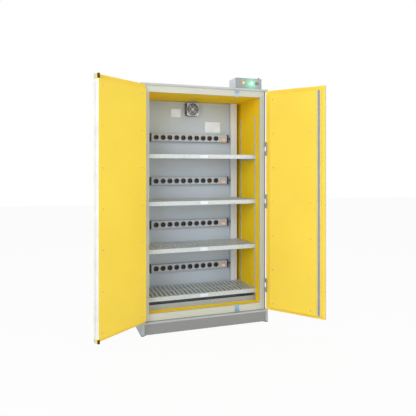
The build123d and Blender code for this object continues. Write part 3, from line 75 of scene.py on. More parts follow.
# ---------------------------------------------------------------------------------------------
# Finishes
# ---------------------------------------------------------------------------------------------
class NodeBuilder:
    """Adds nodes to a material's tree, left to right, and links them."""

    def __init__(self, material: bpy.types.Material) -> None:
        """Starts with an empty tree that holds an output and a Principled shader.

        Args:
            material: the material that is filled in.
        """
        material.use_nodes = True
        self.tree = material.node_tree
        self.tree.nodes.clear()
        self.output = self.add("ShaderNodeOutputMaterial")
        self.shader = self.add("ShaderNodeBsdfPrincipled")
        self.link(self.shader.outputs[0], self.output.inputs["Surface"])
        self.place = self.add("ShaderNodeTexCoord").outputs["Object"]

    def add(self, kind: str, **values: Any) -> bpy.types.Node:
        """Adds one node.

        Args:
            kind: the node's type.
            values: attributes of the node, or values of its inputs by name with spaces as underscores.

        Returns:
            The new node.
        """
        node = self.tree.nodes.new(kind)
        for name, value in values.items():
            if hasattr(node, name):
                setattr(node, name, value)
            else:
                node.inputs[name.replace("_", " ")].default_value = value
        return node

    def link(self, source: bpy.types.NodeSocket, target: bpy.types.NodeSocket) -> None:
        """Joins two sockets."""
        self.tree.links.new(source, target)

    def noise(self, scale: float, detail: float = 3.0,
              stretch: Colour = (1.0, 1.0, 1.0)) -> bpy.types.NodeSocket:
        """A noise texture on object coordinates.

        Args:
            scale: cells per metre.
            detail: octaves.
            stretch: scale along each axis, for brushed or streaked patterns.

        Returns:
            The noise's factor output.
        """
        mapping = self.add("ShaderNodeMapping")
        mapping.inputs["Scale"].default_value = stretch
        self.link(self.place, mapping.inputs["Vector"])
        texture = self.add("ShaderNodeTexNoise", Scale=scale, Detail=detail)
        self.link(mapping.outputs[0], texture.inputs["Vector"])
        return texture.outputs["Fac"]

    def cells(self, scale: float) -> bpy.types.NodeSocket:
        """Voronoi cells on object coordinates.

        Args:
            scale: cells per metre.

        Returns:
            The colour output: one random colour for each cell.
        """
        texture = self.add("ShaderNodeTexVoronoi", Scale=scale)
        self.link(self.place, texture.inputs["Vector"])
        return texture.outputs["Color"]

    def span(self, source: bpy.types.NodeSocket, low: float, high: float,
             start: float = 0.3, end: float = 0.7) -> bpy.types.NodeSocket:
        """Maps a factor onto a range of values.

        Args:
            source: the factor.
            low: value at start.
            high: value at end.
            start: factor that gives low.
            end: factor that gives high.

        Returns:
            The mapped value.
        """
        node = self.add("ShaderNodeMapRange")
        node.inputs["From Min"].default_value = start
        node.inputs["From Max"].default_value = end
        node.inputs["To Min"].default_value = low
        node.inputs["To Max"].default_value = high
        self.link(source, node.inputs["Value"])
        return node.outputs["Result"]

    def blend(self, factor: bpy.types.NodeSocket, first: Colour, second: Colour) -> bpy.types.NodeSocket:
        """Mixes two colours by a factor.

        Args:
            factor: 0 gives first and 1 gives second.
            first: linear colour.
            second: linear colour.

        Returns:
            The mixed colour.
        """
        node = self.add("ShaderNodeMix", data_type="RGBA")
        node.inputs[6].default_value = (*first, 1.0)
        node.inputs[7].default_value = (*second, 1.0)
        self.link(factor, node.inputs[0])
        return node.outputs[2]

    def bump(self, height: bpy.types.NodeSocket, distance: float, strength: float,
             under: bpy.types.NodeSocket | None = None) -> bpy.types.NodeSocket:
        """Turns a height into a normal.

        Args:
            height: the height, from 0 to 1.
            distance: depth in metres.
            strength: from 0 to 1.
            under: a normal that this one adds to.

        Returns:
            The normal.
        """
        node = self.add("ShaderNodeBump", Distance=distance, Strength=strength)
        self.link(height, node.inputs["Height"])
        if under is not None:
            self.link(under, node.inputs["Normal"])
        return node.outputs["Normal"]


def shade(colour: Colour, factor: float) -> Colour:
    """A colour made lighter or darker.

    Args:
        colour: linear colour.
        factor: what each channel is multiplied by.

    Returns:
        The new colour, each channel at most 1.
    """
    return tuple(min(1.0, channel * factor) for channel in colour)


@dataclass(frozen=True)
class PowderCoat:
    """Sprayed and baked paint on sheet metal: fine orange peel, slight cloudiness and faint dust.

    Attributes:
        name: material name.
        colour: linear colour.
        gloss: mean roughness.
        peel: depth of the orange peel, in metres.
        cloud: how far the colour varies.
        sheen_level: strength of the reflection off the paint.
    """

    name: str
    colour: Colour
    gloss: float = 0.38
    peel: float = 0.00012
    cloud: float = 0.035
    sheen_level: float = 0.40

    def build(self) -> bpy.types.Material:
        """Makes the material."""
        material = bpy.data.materials.new(self.name)
        nodes = NodeBuilder(material)
        drift = nodes.span(nodes.noise(2.3, 4.0), 0.0, 1.0)
        nodes.link(
            nodes.blend(drift, shade(self.colour, 1.0 - self.cloud), shade(self.colour, 1.0 + self.cloud)),
            nodes.shader.inputs["Base Color"],
        )
        wiped = nodes.span(nodes.noise(9.0, 5.0, (1.0, 1.0, 0.35)), self.gloss - 0.05, self.gloss + 0.07)
        nodes.link(wiped, nodes.shader.inputs["Roughness"])
        peel = nodes.bump(nodes.noise(420.0, 2.0), self.peel, 0.35)
        dents = nodes.bump(nodes.noise(3.1, 1.0), 0.0015, 0.10, peel)
        nodes.link(dents, nodes.shader.inputs["Normal"])
        nodes.shader.inputs["Specular IOR Level"].default_value = self.sheen_level
        return material


@dataclass(frozen=True)
class Galvanised:
    """Hot-dip galvanised sheet: spangled crystals with their own tint and gloss.

    Attributes:
        name: material name.
        colour: linear colour.
        spangle: crystals per metre.
        metal: metallic share.
        gloss: mean roughness.
    """

    name: str
    colour: Colour
    spangle: float = 95.0
    metal: float = 0.55
    gloss: float = 0.40

    def build(self) -> bpy.types.Material:
        """Makes the material."""
        material = bpy.data.materials.new(self.name)
        nodes = NodeBuilder(material)
        split = nodes.add("ShaderNodeSeparateColor")
        nodes.link(nodes.cells(self.spangle), split.inputs[0])
        tint = nodes.span(split.outputs[0], 0.0, 1.0, 0.0, 1.0)
        nodes.link(
            nodes.blend(tint, shade(self.colour, 0.93), shade(self.colour, 1.06)),
            nodes.shader.inputs["Base Color"],
        )
        nodes.link(nodes.span(split.outputs[1], self.gloss - 0.08, self.gloss + 0.10, 0.0, 1.0),
                   nodes.shader.inputs["Roughness"])
        nodes.link(nodes.bump(nodes.noise(60.0, 4.0), 0.0003, 0.25), nodes.shader.inputs["Normal"])
        nodes.shader.inputs["Metallic"].default_value = self.metal
        return material


@dataclass(frozen=True)
class PlatedSteel:
    """Zinc-plated or ground steel with fine grinding lines.

    Attributes:
        name: material name.
        colour: linear colour.
        gloss: mean roughness.
        lines: stretch of the lines along X, Y and Z.
        metal: metallic share; below 0.6 the plating is dull.
    """

    name: str
    colour: Colour
    gloss: float = 0.32
    lines: Colour = (1.0, 1.0, 12.0)
    metal: float = 0.9

    def build(self) -> bpy.types.Material:
        """Makes the material."""
        material = bpy.data.materials.new(self.name)
        nodes = NodeBuilder(material)
        grain = nodes.noise(180.0, 4.0, self.lines)
        tint = nodes.span(grain, 0.0, 1.0)
        nodes.link(nodes.blend(tint, shade(self.colour, 0.86), shade(self.colour, 1.08)),
                   nodes.shader.inputs["Base Color"])
        nodes.link(nodes.span(grain, self.gloss - 0.07, self.gloss + 0.12), nodes.shader.inputs["Roughness"])
        nodes.link(nodes.bump(grain, 0.0001, 0.3), nodes.shader.inputs["Normal"])
        nodes.shader.inputs["Metallic"].default_value = self.metal
        return material


@dataclass(frozen=True)
class Moulded:
    """Injection-moulded plastic or rubber with a fine grain.

    Attributes:
        name: material name.
        colour: linear colour.
        gloss: mean roughness.
        grain: grain cells per metre.
        depth: grain depth in metres.
    """

    name: str
    colour: Colour
    gloss: float = 0.45
    grain: float = 900.0
    depth: float = 0.00008

    def build(self) -> bpy.types.Material:
        """Makes the material."""
        material = bpy.data.materials.new(self.name)
        nodes = NodeBuilder(material)
        drift = nodes.span(nodes.noise(11.0, 3.0), 0.0, 1.0)
        nodes.link(nodes.blend(drift, shade(self.colour, 0.92), shade(self.colour, 1.08)),
                   nodes.shader.inputs["Base Color"])
        nodes.link(nodes.span(nodes.noise(40.0, 3.0), self.gloss - 0.05, self.gloss + 0.08),
                   nodes.shader.inputs["Roughness"])
        nodes.link(nodes.bump(nodes.noise(self.grain, 2.0), self.depth, 0.4), nodes.shader.inputs["Normal"])
        return material


@dataclass(frozen=True)
class Lit:
    """Coloured lens with a lamp behind it.

    Attributes:
        name: material name.
        colour: linear colour of the plastic.
        glow: linear colour of the light.
        power: emission strength; 0 is off.
    """

    name: str
    colour: Colour
    glow: Colour
    power: float

    def build(self) -> bpy.types.Material:
        """Makes the material."""
        material = bpy.data.materials.new(self.name)
        nodes = NodeBuilder(material)
        ribs = nodes.noise(300.0, 2.0)
        nodes.link(nodes.blend(nodes.span(ribs, 0.0, 1.0), shade(self.colour, 0.85), self.colour),
                   nodes.shader.inputs["Base Color"])
        nodes.link(nodes.blend(nodes.span(ribs, 0.0, 1.0), shade(self.glow, 0.8), self.glow),
                   nodes.shader.inputs["Emission Color"])
        nodes.shader.inputs["Emission Strength"].default_value = self.power
        nodes.shader.inputs["Roughness"].default_value = 0.18
        nodes.shader.inputs["Coat Weight"].default_value = 0.4
        return material


@dataclass(frozen=True)
class Board:
    """Raw mineral fire board: chalky with fibres.

    Attributes:
        name: material name.
        colour: linear colour.
    """

    name: str
    colour: Colour

    def build(self) -> bpy.types.Material:
        """Makes the material."""
        material = bpy.data.materials.new(self.name)
        nodes = NodeBuilder(material)
        fibre = nodes.noise(70.0, 6.0, (1.0, 4.0, 1.0))
        tint = nodes.span(fibre, 0.0, 1.0)
        nodes.link(nodes.blend(tint, shade(self.colour, 0.85), shade(self.colour, 1.1)),
                   nodes.shader.inputs["Base Color"])
        nodes.link(nodes.bump(fibre, 0.0006, 0.6), nodes.shader.inputs["Normal"])
        nodes.shader.inputs["Roughness"].default_value = 0.85
        return material


Finish = PowderCoat | Galvanised | PlatedSteel | Moulded | Lit | Board

YELLOW = PowderCoat("yellow_powder_coat", (0.985, 0.715, 0.080), gloss=0.46, sheen_level=0.25)
# The lining has the doors' yellow paint; this copy is more saturated and less shiny, painted light for the
# shaded interior.
LINING_YELLOW_PAINTED_LIGHT = PowderCoat("lining_yellow_painted_light", (1.0, 0.68, 0.014), gloss=0.6, sheen_level=0.08)
LIGHT_GREY = PowderCoat("light_grey_powder_coat", (0.62, 0.655, 0.65), gloss=0.42)
SHELL_GREY = PowderCoat("plinth_shell_powder_coat", (0.47, 0.50, 0.52), gloss=0.45)
# The lid has the casing's light grey paint; this darker copy is painted shade matched to its front edge.
LID_GREY_PAINTED_SHADE = PowderCoat("lid_grey_painted_shade", (0.50, 0.53, 0.55), gloss=0.42)
FRAME_GREY = PowderCoat("frame_powder_coat", (0.60, 0.61, 0.53), gloss=0.46, sheen_level=0.3)
PLINTH_GREY = PowderCoat("kick_powder_coat", (0.27, 0.28, 0.285), gloss=0.5)
BLACK_PAINT = PowderCoat("black_primer", (0.03, 0.03, 0.033), gloss=0.6)
PANEL_GREY = PowderCoat("panel_powder_coat", (0.50, 0.57, 0.66), gloss=0.46, sheen_level=0.3)
TRUNK_GREY = PowderCoat("trunking_grey", (0.74, 0.80, 0.90), gloss=0.44, sheen_level=0.3)
COVER_GREY = PowderCoat("cover_powder_coat", (0.32, 0.35, 0.385), gloss=0.46, sheen_level=0.3)
BOX_GREY = PowderCoat("box_powder_coat", (0.84, 0.85, 0.87), gloss=0.44)
SHELF_ZINC = Galvanised("shelf_galvanised", (0.56, 0.61, 0.64), metal=0.2, gloss=0.46)
TRAY_ZINC = Galvanised("tray_galvanised", (0.36, 0.41, 0.45), metal=0.3)
FITTING_ZINC = PlatedSteel("fitting_zinc", (0.46, 0.50, 0.54), gloss=0.40, metal=0.55)
BLUE_ZINC = PlatedSteel("blue_passivated_zinc", (0.30, 0.44, 0.56), gloss=0.42, metal=0.5)
HINGE_STEEL = PlatedSteel("hinge_steel", (0.40, 0.40, 0.36), gloss=0.5, metal=0.35)
SCREW_STEEL = PlatedSteel("screw_steel", (0.55, 0.54, 0.50), gloss=0.28)
DOOR_SCREW_STEEL = PlatedSteel("door_screw_steel", (0.62, 0.64, 0.66), gloss=0.34, metal=0.45)
GUARD_CHROME = PlatedSteel("guard_plating", (0.40, 0.41, 0.44), gloss=0.36, metal=0.5)
# Dark discs on screw and rivet heads: painted shade in their drive holes.
DRIVE_PAINTED_SHADE = Moulded("drive_painted_shade", (0.008, 0.008, 0.009), gloss=0.75)
BLACK_PLASTIC = Moulded("black_plastic", (0.012, 0.012, 0.014), gloss=0.55)
BLACK_RUBBER = Moulded("black_rubber", (0.02, 0.02, 0.02), gloss=0.75)
STRIP_BODY = PowderCoat("strip_extrusion", (0.46, 0.50, 0.56), gloss=0.42, sheen_level=0.3)
EDGE_WHITE = Moulded("edge_strip_white", (0.88, 0.89, 0.87), gloss=0.55)
BAR_GREY = Moulded("seal_bar_grey", (0.58, 0.59, 0.60), gloss=0.5)
# Dark grey for the meeting bar's groove: painted shade in the groove.
BAR_GROOVE_PAINTED_SHADE = Moulded("seal_groove_painted_shade", (0.30, 0.32, 0.32), gloss=0.6)
PLATE_WHITE = Moulded("plate_white", (0.74, 0.83, 0.97), gloss=0.42)
CLIP_BRASS = PlatedSteel("contact_metal", (0.60, 0.56, 0.44), gloss=0.3)
SWITCH_GLOW = Lit("switch_orange_lit", (0.98, 0.16, 0.02), (1.0, 0.20, 0.03), 1.8)
AMBER = Lit("amber_lens", (0.80, 0.26, 0.02), (1.0, 0.55, 0.03), 0.9)
GREEN = Lit("green_lens_lit", (0.25, 0.95, 0.40), (0.30, 1.0, 0.46), 4.0)
RED = Moulded("red_button_cap", (0.48, 0.018, 0.018), gloss=0.3)
FIRE_BOARD = Board("mineral_board", (0.60, 0.58, 0.53))


class Paintshop:
    """Builds each finish once and hands it out."""

    def __init__(self) -> None:
        """Starts with no materials."""
        self.made: dict[str, bpy.types.Material] = {}

    def get(self, finish: Finish) -> bpy.types.Material:
        """The material of a finish.

        Args:
            finish: what the surface is.

        Returns:
            The Blender material.
        """
        if finish.name not in self.made:
            self.made[finish.name] = finish.build()
        return self.made[finish.name]

    def coat(self, node: bpy.types.Object, finish: Finish) -> None:
        """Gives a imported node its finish.

        Args:
            node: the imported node's object.
            finish: its finish.
        """
        material = self.get(finish)
        if not node.material_slots:
            node.data.materials.append(material)
        for slot in node.material_slots:
            slot.material = material


# ---------------------------------------------------------------------------------------------
# Mesh and Geometry Nodes helpers
# ---------------------------------------------------------------------------------------------
def mesh_piece(name: str, mesh: bpy.types.Mesh, body: Body,
               material: bpy.types.Material) -> bpy.types.Object:
    """Puts a finished mesh in the scene as a piece.

    Args:
        name: piece name.
        mesh: the mesh, in place.
        body: the body that it moves with.
        material: its material, if the mesh has none.

    Returns:
        The piece.
    """
    if not mesh.materials:
        mesh.materials.append(material)
    piece = bpy.data.objects.new(name, mesh)
    bpy.context.scene.collection.objects.link(piece)
    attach(piece, body.value)
    LOG.info("piece %s on %s, %d faces", name, body.value, len(mesh.polygons))
    return piece


def socket_id(tree: bpy.types.NodeTree, name: str) -> str:
    """Identifier of a tree's named input.

    Args:
        tree: the geometry node tree.
        name: the input's name.

    Returns:
        The identifier that a modifier is set by.
    """
    return next(item.identifier for item in tree.interface.items_tree
                if item.name == name and item.item_type == "SOCKET" and item.in_out == "INPUT")


class GeometryTree:
    """A geometry node tree with named inputs, one geometry in and one out."""

    def __init__(self, name: str) -> None:
        """Makes an empty tree.

        Args:
            name: tree name.
        """
        self.tree = bpy.data.node_groups.new(name, "GeometryNodeTree")
        self.tree.interface.new_socket("Geometry", in_out="INPUT", socket_type="NodeSocketGeometry")
        self.tree.interface.new_socket("Geometry", in_out="OUTPUT", socket_type="NodeSocketGeometry")
        self.entry = self.tree.nodes.new("NodeGroupInput")
        self.exit = self.tree.nodes.new("NodeGroupOutput")

    def number(self, name: str, value: float) -> bpy.types.NodeSocket:
        """Adds a named size input.

        Args:
            name: input name.
            value: default, in metres.

        Returns:
            The socket inside the tree.
        """
        socket = self.tree.interface.new_socket(name, in_out="INPUT", socket_type="NodeSocketFloat")
        socket.default_value = value
        return self.entry.outputs[name]

    def turn(self, name: str) -> bpy.types.NodeSocket:
        """Adds a named rotation input."""
        self.tree.interface.new_socket(name, in_out="INPUT", socket_type="NodeSocketRotation")
        return self.entry.outputs[name]

    def add(self, kind: str, **values: Any) -> bpy.types.Node:
        """Adds one node.

        Args:
            kind: the node's type.
            values: sockets to join, attributes of the node, or values of its inputs by name with
                spaces as underscores.

        Returns:
            The new node.
        """
        node = self.tree.nodes.new(kind)
        for name, value in values.items():
            if isinstance(value, bpy.types.NodeSocket):
                self.tree.links.new(value, node.inputs[name.replace("_", " ")])
            elif hasattr(node, name):
                setattr(node, name, value)
            else:
                node.inputs[name.replace("_", " ")].default_value = value
        return node

    def coated(self, geometry: bpy.types.NodeSocket, material: bpy.types.Material) -> bpy.types.NodeSocket:
        """Sets a material on a geometry.

        Args:
            geometry: what is coated.
            material: its material.

        Returns:
            The coated geometry.
        """
        node = self.add("GeometryNodeSetMaterial", Geometry=geometry)
        node.inputs["Material"].default_value = material
        return node.outputs[0]

    def shifted(self, geometry: bpy.types.NodeSocket, height: bpy.types.NodeSocket) -> bpy.types.NodeSocket:
        """Lifts a geometry along Z.

        Args:
            geometry: what is lifted.
            height: how far, in metres.

        Returns:
            The lifted geometry.
        """
        offset = self.add("ShaderNodeCombineXYZ", Z=height)
        return self.add("GeometryNodeTransform", Geometry=geometry, Translation=offset.outputs[0]).outputs[0]

    def math(self, operation: str, first: Any, second: Any) -> bpy.types.NodeSocket:
        """One sum of two values.

        Args:
            operation: name of the sum, such as MULTIPLY.
            first: a socket or a number.
            second: a socket or a number.

        Returns:
            The result.
        """
        node = self.tree.nodes.new("ShaderNodeMath")
        node.operation = operation
        for index, value in enumerate((first, second)):
            if isinstance(value, bpy.types.NodeSocket):
                self.tree.links.new(value, node.inputs[index])
            else:
                node.inputs[index].default_value = value
        return node.outputs[0]

    def stamp(self, pieces: Sequence[bpy.types.NodeSocket], turn: bpy.types.NodeSocket) -> None:
        """Ends the tree: the joined pieces on every point of the input, turned and realized.

        Args:
            pieces: coated geometries that make one item.
            turn: rotation of each item.
        """
        join = self.tree.nodes.new("GeometryNodeJoinGeometry")
        for piece in pieces:
            self.tree.links.new(piece, join.inputs[0])
        copies = self.add("GeometryNodeInstanceOnPoints", Points=self.entry.outputs["Geometry"],
                          Instance=join.outputs[0], Rotation=turn)
        real = self.add("GeometryNodeRealizeInstances", Geometry=copies.outputs[0])
        self.tree.links.new(real.outputs[0], self.exit.inputs[0])


def grow(name: str, points: Iterable[Vector], tree: bpy.types.NodeTree,
         values: dict[str, Any]) -> bpy.types.Mesh:
    """Runs a tree on loose points and keeps the plain mesh.

    Args:
        name: mesh name.
        points: where the items go.
        tree: geometry node tree.
        values: the tree's inputs by name.

    Returns:
        The realized mesh.
    """
    seed = bpy.data.meshes.new(f"{name}_points")
    seed.from_pydata([tuple(point) for point in points], [], [])
    carrier = bpy.data.objects.new(f"{name}_carrier", seed)
    bpy.context.scene.collection.objects.link(carrier)
    modifier = carrier.modifiers.new("grow", "NODES")
    modifier.node_group = tree
    for key, value in values.items():
        modifier[socket_id(tree, key)] = value
    graph = bpy.context.evaluated_depsgraph_get()
    mesh = bpy.data.meshes.new_from_object(carrier.evaluated_get(graph))
    mesh.name = name
    bpy.data.objects.remove(carrier)
    return mesh


def facing(direction: Vector) -> Euler:
    """Rotation that turns +Z into a direction.

    Args:
        direction: where the item's top points.

    Returns:
        The rotation.
    """
    return direction.to_track_quat("Z", "Y").to_euler()


@dataclass(frozen=True)
class ScrewKind:
    """One kind of screw head.

    Attributes:
        label: name of its tree.
        radius: head radius in metres.
        height: head height in metres.
        drive: what is cut into it.
        drive_radius: size of the drive.
        steel: finish of the head.
    """

    label: str
    radius: float
    height: float
    drive: Drive
    drive_radius: float
    steel: Finish


PAN_HEAD = ScrewKind("pan_head", 3.2 * MM, 1.6 * MM, Drive.HEXAGON, 1.5 * MM, SCREW_STEEL)
RIVET = ScrewKind("blind_rivet", 3.6 * MM, 1.2 * MM, Drive.ROUND, 1.1 * MM, SCREW_STEEL)
# The door drives are dark discs only: painted shade in the sockets of the inner sheet's screws.
DOOR_DRIVE = ScrewKind("door_drive", 2.6 * MM, 0.12 * MM, Drive.HEXAGON, 2.2 * MM, DRIVE_PAINTED_SHADE)


class Fasteners:
    """Screw heads by geometry nodes: a tapered head and a dark disc for the drive, painted shade in the
    socket, on every point.
    """

    def __init__(self, shop: Paintshop) -> None:
        """Keeps the paintshop.

        Args:
            shop: where finishes come from.
        """
        self.shop = shop
        self.trees: dict[str, bpy.types.NodeTree] = {}

    def tree(self, kind: ScrewKind) -> bpy.types.NodeTree:
        """The node tree of one kind of screw.

        Args:
            kind: the screw.

        Returns:
            Its tree, made once.
        """
        if kind.label in self.trees:
            return self.trees[kind.label]
        build = GeometryTree(kind.label)
        radius = build.number("Head Radius", kind.radius)
        height = build.number("Head Height", kind.height)
        drive = build.number("Drive Radius", kind.drive_radius)
        turn = build.turn("Turn")
        head = build.add("GeometryNodeMeshCone", Vertices=16, Radius_Bottom=radius,
                         Radius_Top=build.math("MULTIPLY", radius, 0.72), Depth=height)
        # A thin dark disc on the head's top: painted shade in the drive socket.
        socket = build.add("GeometryNodeMeshCone", Vertices=kind.drive.value, Radius_Bottom=drive,
                           Radius_Top=drive, Depth=build.math("MULTIPLY", height, 0.12))
        lifted = build.shifted(socket.outputs[0], build.math("MULTIPLY", height, 0.96))
        build.stamp([build.coated(head.outputs[0], self.shop.get(kind.steel)),
                     build.coated(lifted, self.shop.get(DRIVE_PAINTED_SHADE))], turn)
        self.trees[kind.label] = build.tree
        return build.tree

    def fit(self, name: str, points: Sequence[Vector], direction: Vector, kind: ScrewKind, body: Body,
            slot: str = "zinc_steel") -> bpy.types.Object:
        """Puts screws on a surface.

        Args:
            name: piece name.
            points: places on the surface.
            direction: the surface's outward normal.
            kind: the screw.
            body: what they are driven into.
            slot: not used.

        Returns:
            The piece.
        """
        mesh = grow(name, points, self.tree(kind), {"Turn": facing(direction)})
        return mesh_piece(name, mesh, body, self.shop.get(kind.steel))


# ---------------------------------------------------------------------------------------------
# Sub-assemblies
# ---------------------------------------------------------------------------------------------
@dataclass
class Assembly:
    """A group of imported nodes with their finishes.

    Attributes:
        shop: where finishes come from.
        fasteners: where screws come from.
        nodes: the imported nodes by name.
    """

    shop: Paintshop
    fasteners: Fasteners
    nodes: dict[str, bpy.types.Object]

    def finishes(self) -> dict[str, Finish]:
        """Finish of each node in this group."""
        return {}

    def details(self) -> None:
        """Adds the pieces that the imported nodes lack."""

    def build(self) -> None:
        """Coats the nodes and adds the details."""
        for name, finish in self.finishes().items():
            self.shop.coat(self.nodes[name], finish)
        self.details()
        LOG.info("%s done", type(self).__name__)


@dataclass
class DoorPlace:
    """Where an open door's surfaces are, from its hinge pin.

    Attributes:
        side: 1 for the right door, -1 for the left.
        pin: the hinge pin in plan, in metres.
        degrees: how far the door is open.
        leaf_edge: the closed door's hinge edge.
    """

    side: int
    pin: Vector
    degrees: float
    leaf_edge: float = 0.546

    def at(self, inset: float, depth: float, height: float) -> Vector:
        """A point on the open door.

        Args:
            inset: distance from the hinge edge, in metres.
            depth: the closed door's Y.
            height: Z.

        Returns:
            The point in the row frame.
        """
        closed = Vector((self.side * (self.leaf_edge - inset), depth, 0.0)) - self.pin
        turned = Matrix.Rotation(math.radians(self.side * self.degrees), 3, "Z") @ closed
        return turned + self.pin + Vector((0.0, 0.0, height))

    def normal(self, inward: bool = True) -> Vector:
        """The door's inner or outer normal.

        Args:
            inward: True for the inner face.

        Returns:
            A unit vector.
        """
        facing_in = Vector((0.0, 1.0 if inward else -1.0, 0.0))
        return Matrix.Rotation(math.radians(self.side * self.degrees), 3, "Z") @ facing_in


@dataclass
class Plinth(Assembly):
    """Floor frame, skirt and kick panel."""

    screw_inset: float = 0.04
    proud: float = 0.0008

    def finishes(self) -> dict[str, Finish]:
        """Finish of each node."""
        return {"floor_frame": BLACK_PAINT, "plinth_shell": SHELL_GREY, "kick_panel": PLINTH_GREY}

    def details(self) -> None:
        """Screws of the kick panel."""
        low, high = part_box("kick_panel")
        middle = (low[2] + high[2]) / 2
        points = [Vector((x, low[1] - self.proud, middle)) for x in
                  (low[0] + self.screw_inset, high[0] - self.screw_inset)]
        self.fasteners.fit("kick_screws", points, Vector((0, -1, 0)), PAN_HEAD, Body.CABINET)


@dataclass
class Casing(Assembly):
    """Outer sheets, lid, frame, seals, lining and hinges."""

    rivet_inset: float = 0.028
    rivet_rows: int = 9
    rivets_across: int = 5

    def finishes(self) -> dict[str, Finish]:
        """Finish of each node."""
        return {
            "side_panels": LIGHT_GREY, "rear_casing": LIGHT_GREY, "casing_pans": LIGHT_GREY,
            # The lid's grey is a darker copy of the casing grey: painted shade.
            "lid": LID_GREY_PAINTED_SHADE,
            "fire_boards": FIRE_BOARD, "door_frame": FRAME_GREY, "frame_seals": BLACK_RUBBER,
            # The lining's yellow is a copy of the door yellow with painted light.
            "lining": LINING_YELLOW_PAINTED_LIGHT,
            "exhaust_spigot": SHELF_ZINC, "frame_fittings": BLUE_ZINC, "hinge_body_leaves": HINGE_STEEL,
            "hinge_pins": SCREW_STEEL,
        }

    def details(self) -> None:
        """Rivets round the rear sheet."""
        low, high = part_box("rear_casing")
        height = high[2] - low[2] - 2 * self.rivet_inset
        width = high[0] - low[0] - 2 * self.rivet_inset
        rows = [low[2] + self.rivet_inset + n * height / self.rivet_rows
                for n in range(self.rivet_rows + 1)]
        across = [low[0] + self.rivet_inset + n * width / self.rivets_across
                  for n in range(1, self.rivets_across)]
        edges = (low[0] + self.rivet_inset, high[0] - self.rivet_inset)
        points = [Vector((x, high[1], z)) for x in edges for z in rows]
        points += [Vector((x, high[1], z)) for x in across for z in (rows[0], rows[-1])]
        self.fasteners.fit("rear_rivets", points, Vector((0, 1, 0)), RIVET, Body.CABINET)


@dataclass
class Interior(Assembly):
    """Rear insert, shelves and sump tray."""

    edge_inset: float = 0.012
    end_inset: float = 0.03
    spaces: int = 6

    def finishes(self) -> dict[str, Finish]:
        """Finish of each node."""
        chosen: dict[str, Finish] = {f"shelf_{n}": SHELF_ZINC for n in range(1, 5)}
        chosen.update({
            "rear_panel": PANEL_GREY, "trunking": TRUNK_GREY, "shelf_carriers": SHELF_ZINC,
            "label_plates": PLATE_WHITE, "sump_tray": TRAY_ZINC,
        })
        return chosen

    def details(self) -> None:
        """Screws of the rear panel."""
        low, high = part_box("rear_panel")
        span = high[2] - low[2] - 2 * self.end_inset
        rows = [low[2] + self.end_inset + n * span / self.spaces for n in range(self.spaces + 1)]
        points = [Vector((x, low[1], z))
                  for x in (low[0] + self.edge_inset, high[0] - self.edge_inset) for z in rows]
        self.fasteners.fit("rear_panel_screws", points, Vector((0, -1, 0)), PAN_HEAD, Body.CABINET)


@dataclass
class SocketStrips(Assembly):
    """Strip bodies and ends, sockets with earth clips, and switches."""

    count: int = 10
    pitch: float = 0.065
    clip_reach: float = 0.0175
    rocker_drop: float = 0.013

    def finishes(self) -> dict[str, Finish]:
        """Finish of each node."""
        chosen: dict[str, Finish] = {f"rocker_{n}": SWITCH_GLOW for n in range(1, 5)}
        chosen.update({"strip_bodies": STRIP_BODY, "strip_ends": BLACK_PLASTIC, "sockets": BLACK_PLASTIC})
        return chosen

    def centres(self) -> list[Vector]:
        """Middle of each socket's mouth."""
        low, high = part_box("sockets")
        first = (low[0] + high[0]) / 2 - self.pitch * (self.count - 1) / 2
        rockers = [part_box(f"rocker_{n}") for n in range(1, 5)]
        levels = [(bottom[2] + top[2]) / 2 + self.rocker_drop for bottom, top in rockers]
        return [Vector((first + n * self.pitch, low[1], z)) for z in levels for n in range(self.count)]

    def details(self) -> None:
        """Earth clips at the top and bottom of every recess."""
        build = GeometryTree("earth_clips")
        reach = build.number("Reach", self.clip_reach)
        wide = build.number("Width", 0.005)
        deep = build.number("Depth", 0.010)
        turn = build.turn("Turn")
        size = build.add("ShaderNodeCombineXYZ", X=wide, Y=deep, Z=build.math("MULTIPLY", wide, 0.3))
        clips = []
        for sign in (-1.0, 1.0):
            bar = build.add("GeometryNodeMeshCube", Size=size.outputs[0])
            offset = build.add("ShaderNodeCombineXYZ", Y=0.009, Z=build.math("MULTIPLY", reach, sign))
            moved = build.add("GeometryNodeTransform", Geometry=bar.outputs[0], Translation=offset.outputs[0])
            clips.append(build.coated(moved.outputs[0], self.shop.get(CLIP_BRASS)))
        build.stamp(clips, turn)
        mesh = grow("earth_clips", self.centres(), build.tree, {})
        mesh_piece("earth_clips", mesh, Body.CABINET, self.shop.get(CLIP_BRASS))


@dataclass
class Ventilation(Assembly):
    """Fan housing, rotor and guard."""

    hole_step: float = 0.052
    sunk: float = 0.0012

    def finishes(self) -> dict[str, Finish]:
        """Finish of each node."""
        return {"fan_housing": BLACK_PLASTIC, "fan_rotor": BLACK_PLASTIC, "fan_guard": GUARD_CHROME}

    def details(self) -> None:
        """The guard's four corner screws."""
        low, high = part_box("fan_guard")
        middle = Vector(((low[0] + high[0]) / 2, low[1], (low[2] + high[2]) / 2))
        points = [middle + Vector((sx * self.hole_step, self.sunk, sz * self.hole_step))
                  for sx in (-1, 1) for sz in (-1, 1)]
        self.fasteners.fit("fan_screws", points, Vector((0, -1, 0)), PAN_HEAD, Body.CABINET)


@dataclass
class ControlUnit(Assembly):
    """Control box on the lid."""

    inset: float = 0.009

    def finishes(self) -> dict[str, Finish]:
        """Finish of each node."""
        return {
            "control_box": BOX_GREY, "control_cover": COVER_GREY, "amber_lamp": AMBER, "green_lamp": GREEN,
            "red_button": RED, "box_gland": BLACK_PLASTIC,
        }

    def details(self) -> None:
        """Cover screws."""
        low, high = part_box("control_cover")
        points = [Vector((x, low[1], z)) for x in (low[0] + self.inset, high[0] - self.inset)
                  for z in (low[2] + self.inset, high[2] - self.inset)]
        self.fasteners.fit("cover_screws", points, Vector((0, -1, 0)), PAN_HEAD, Body.CABINET)


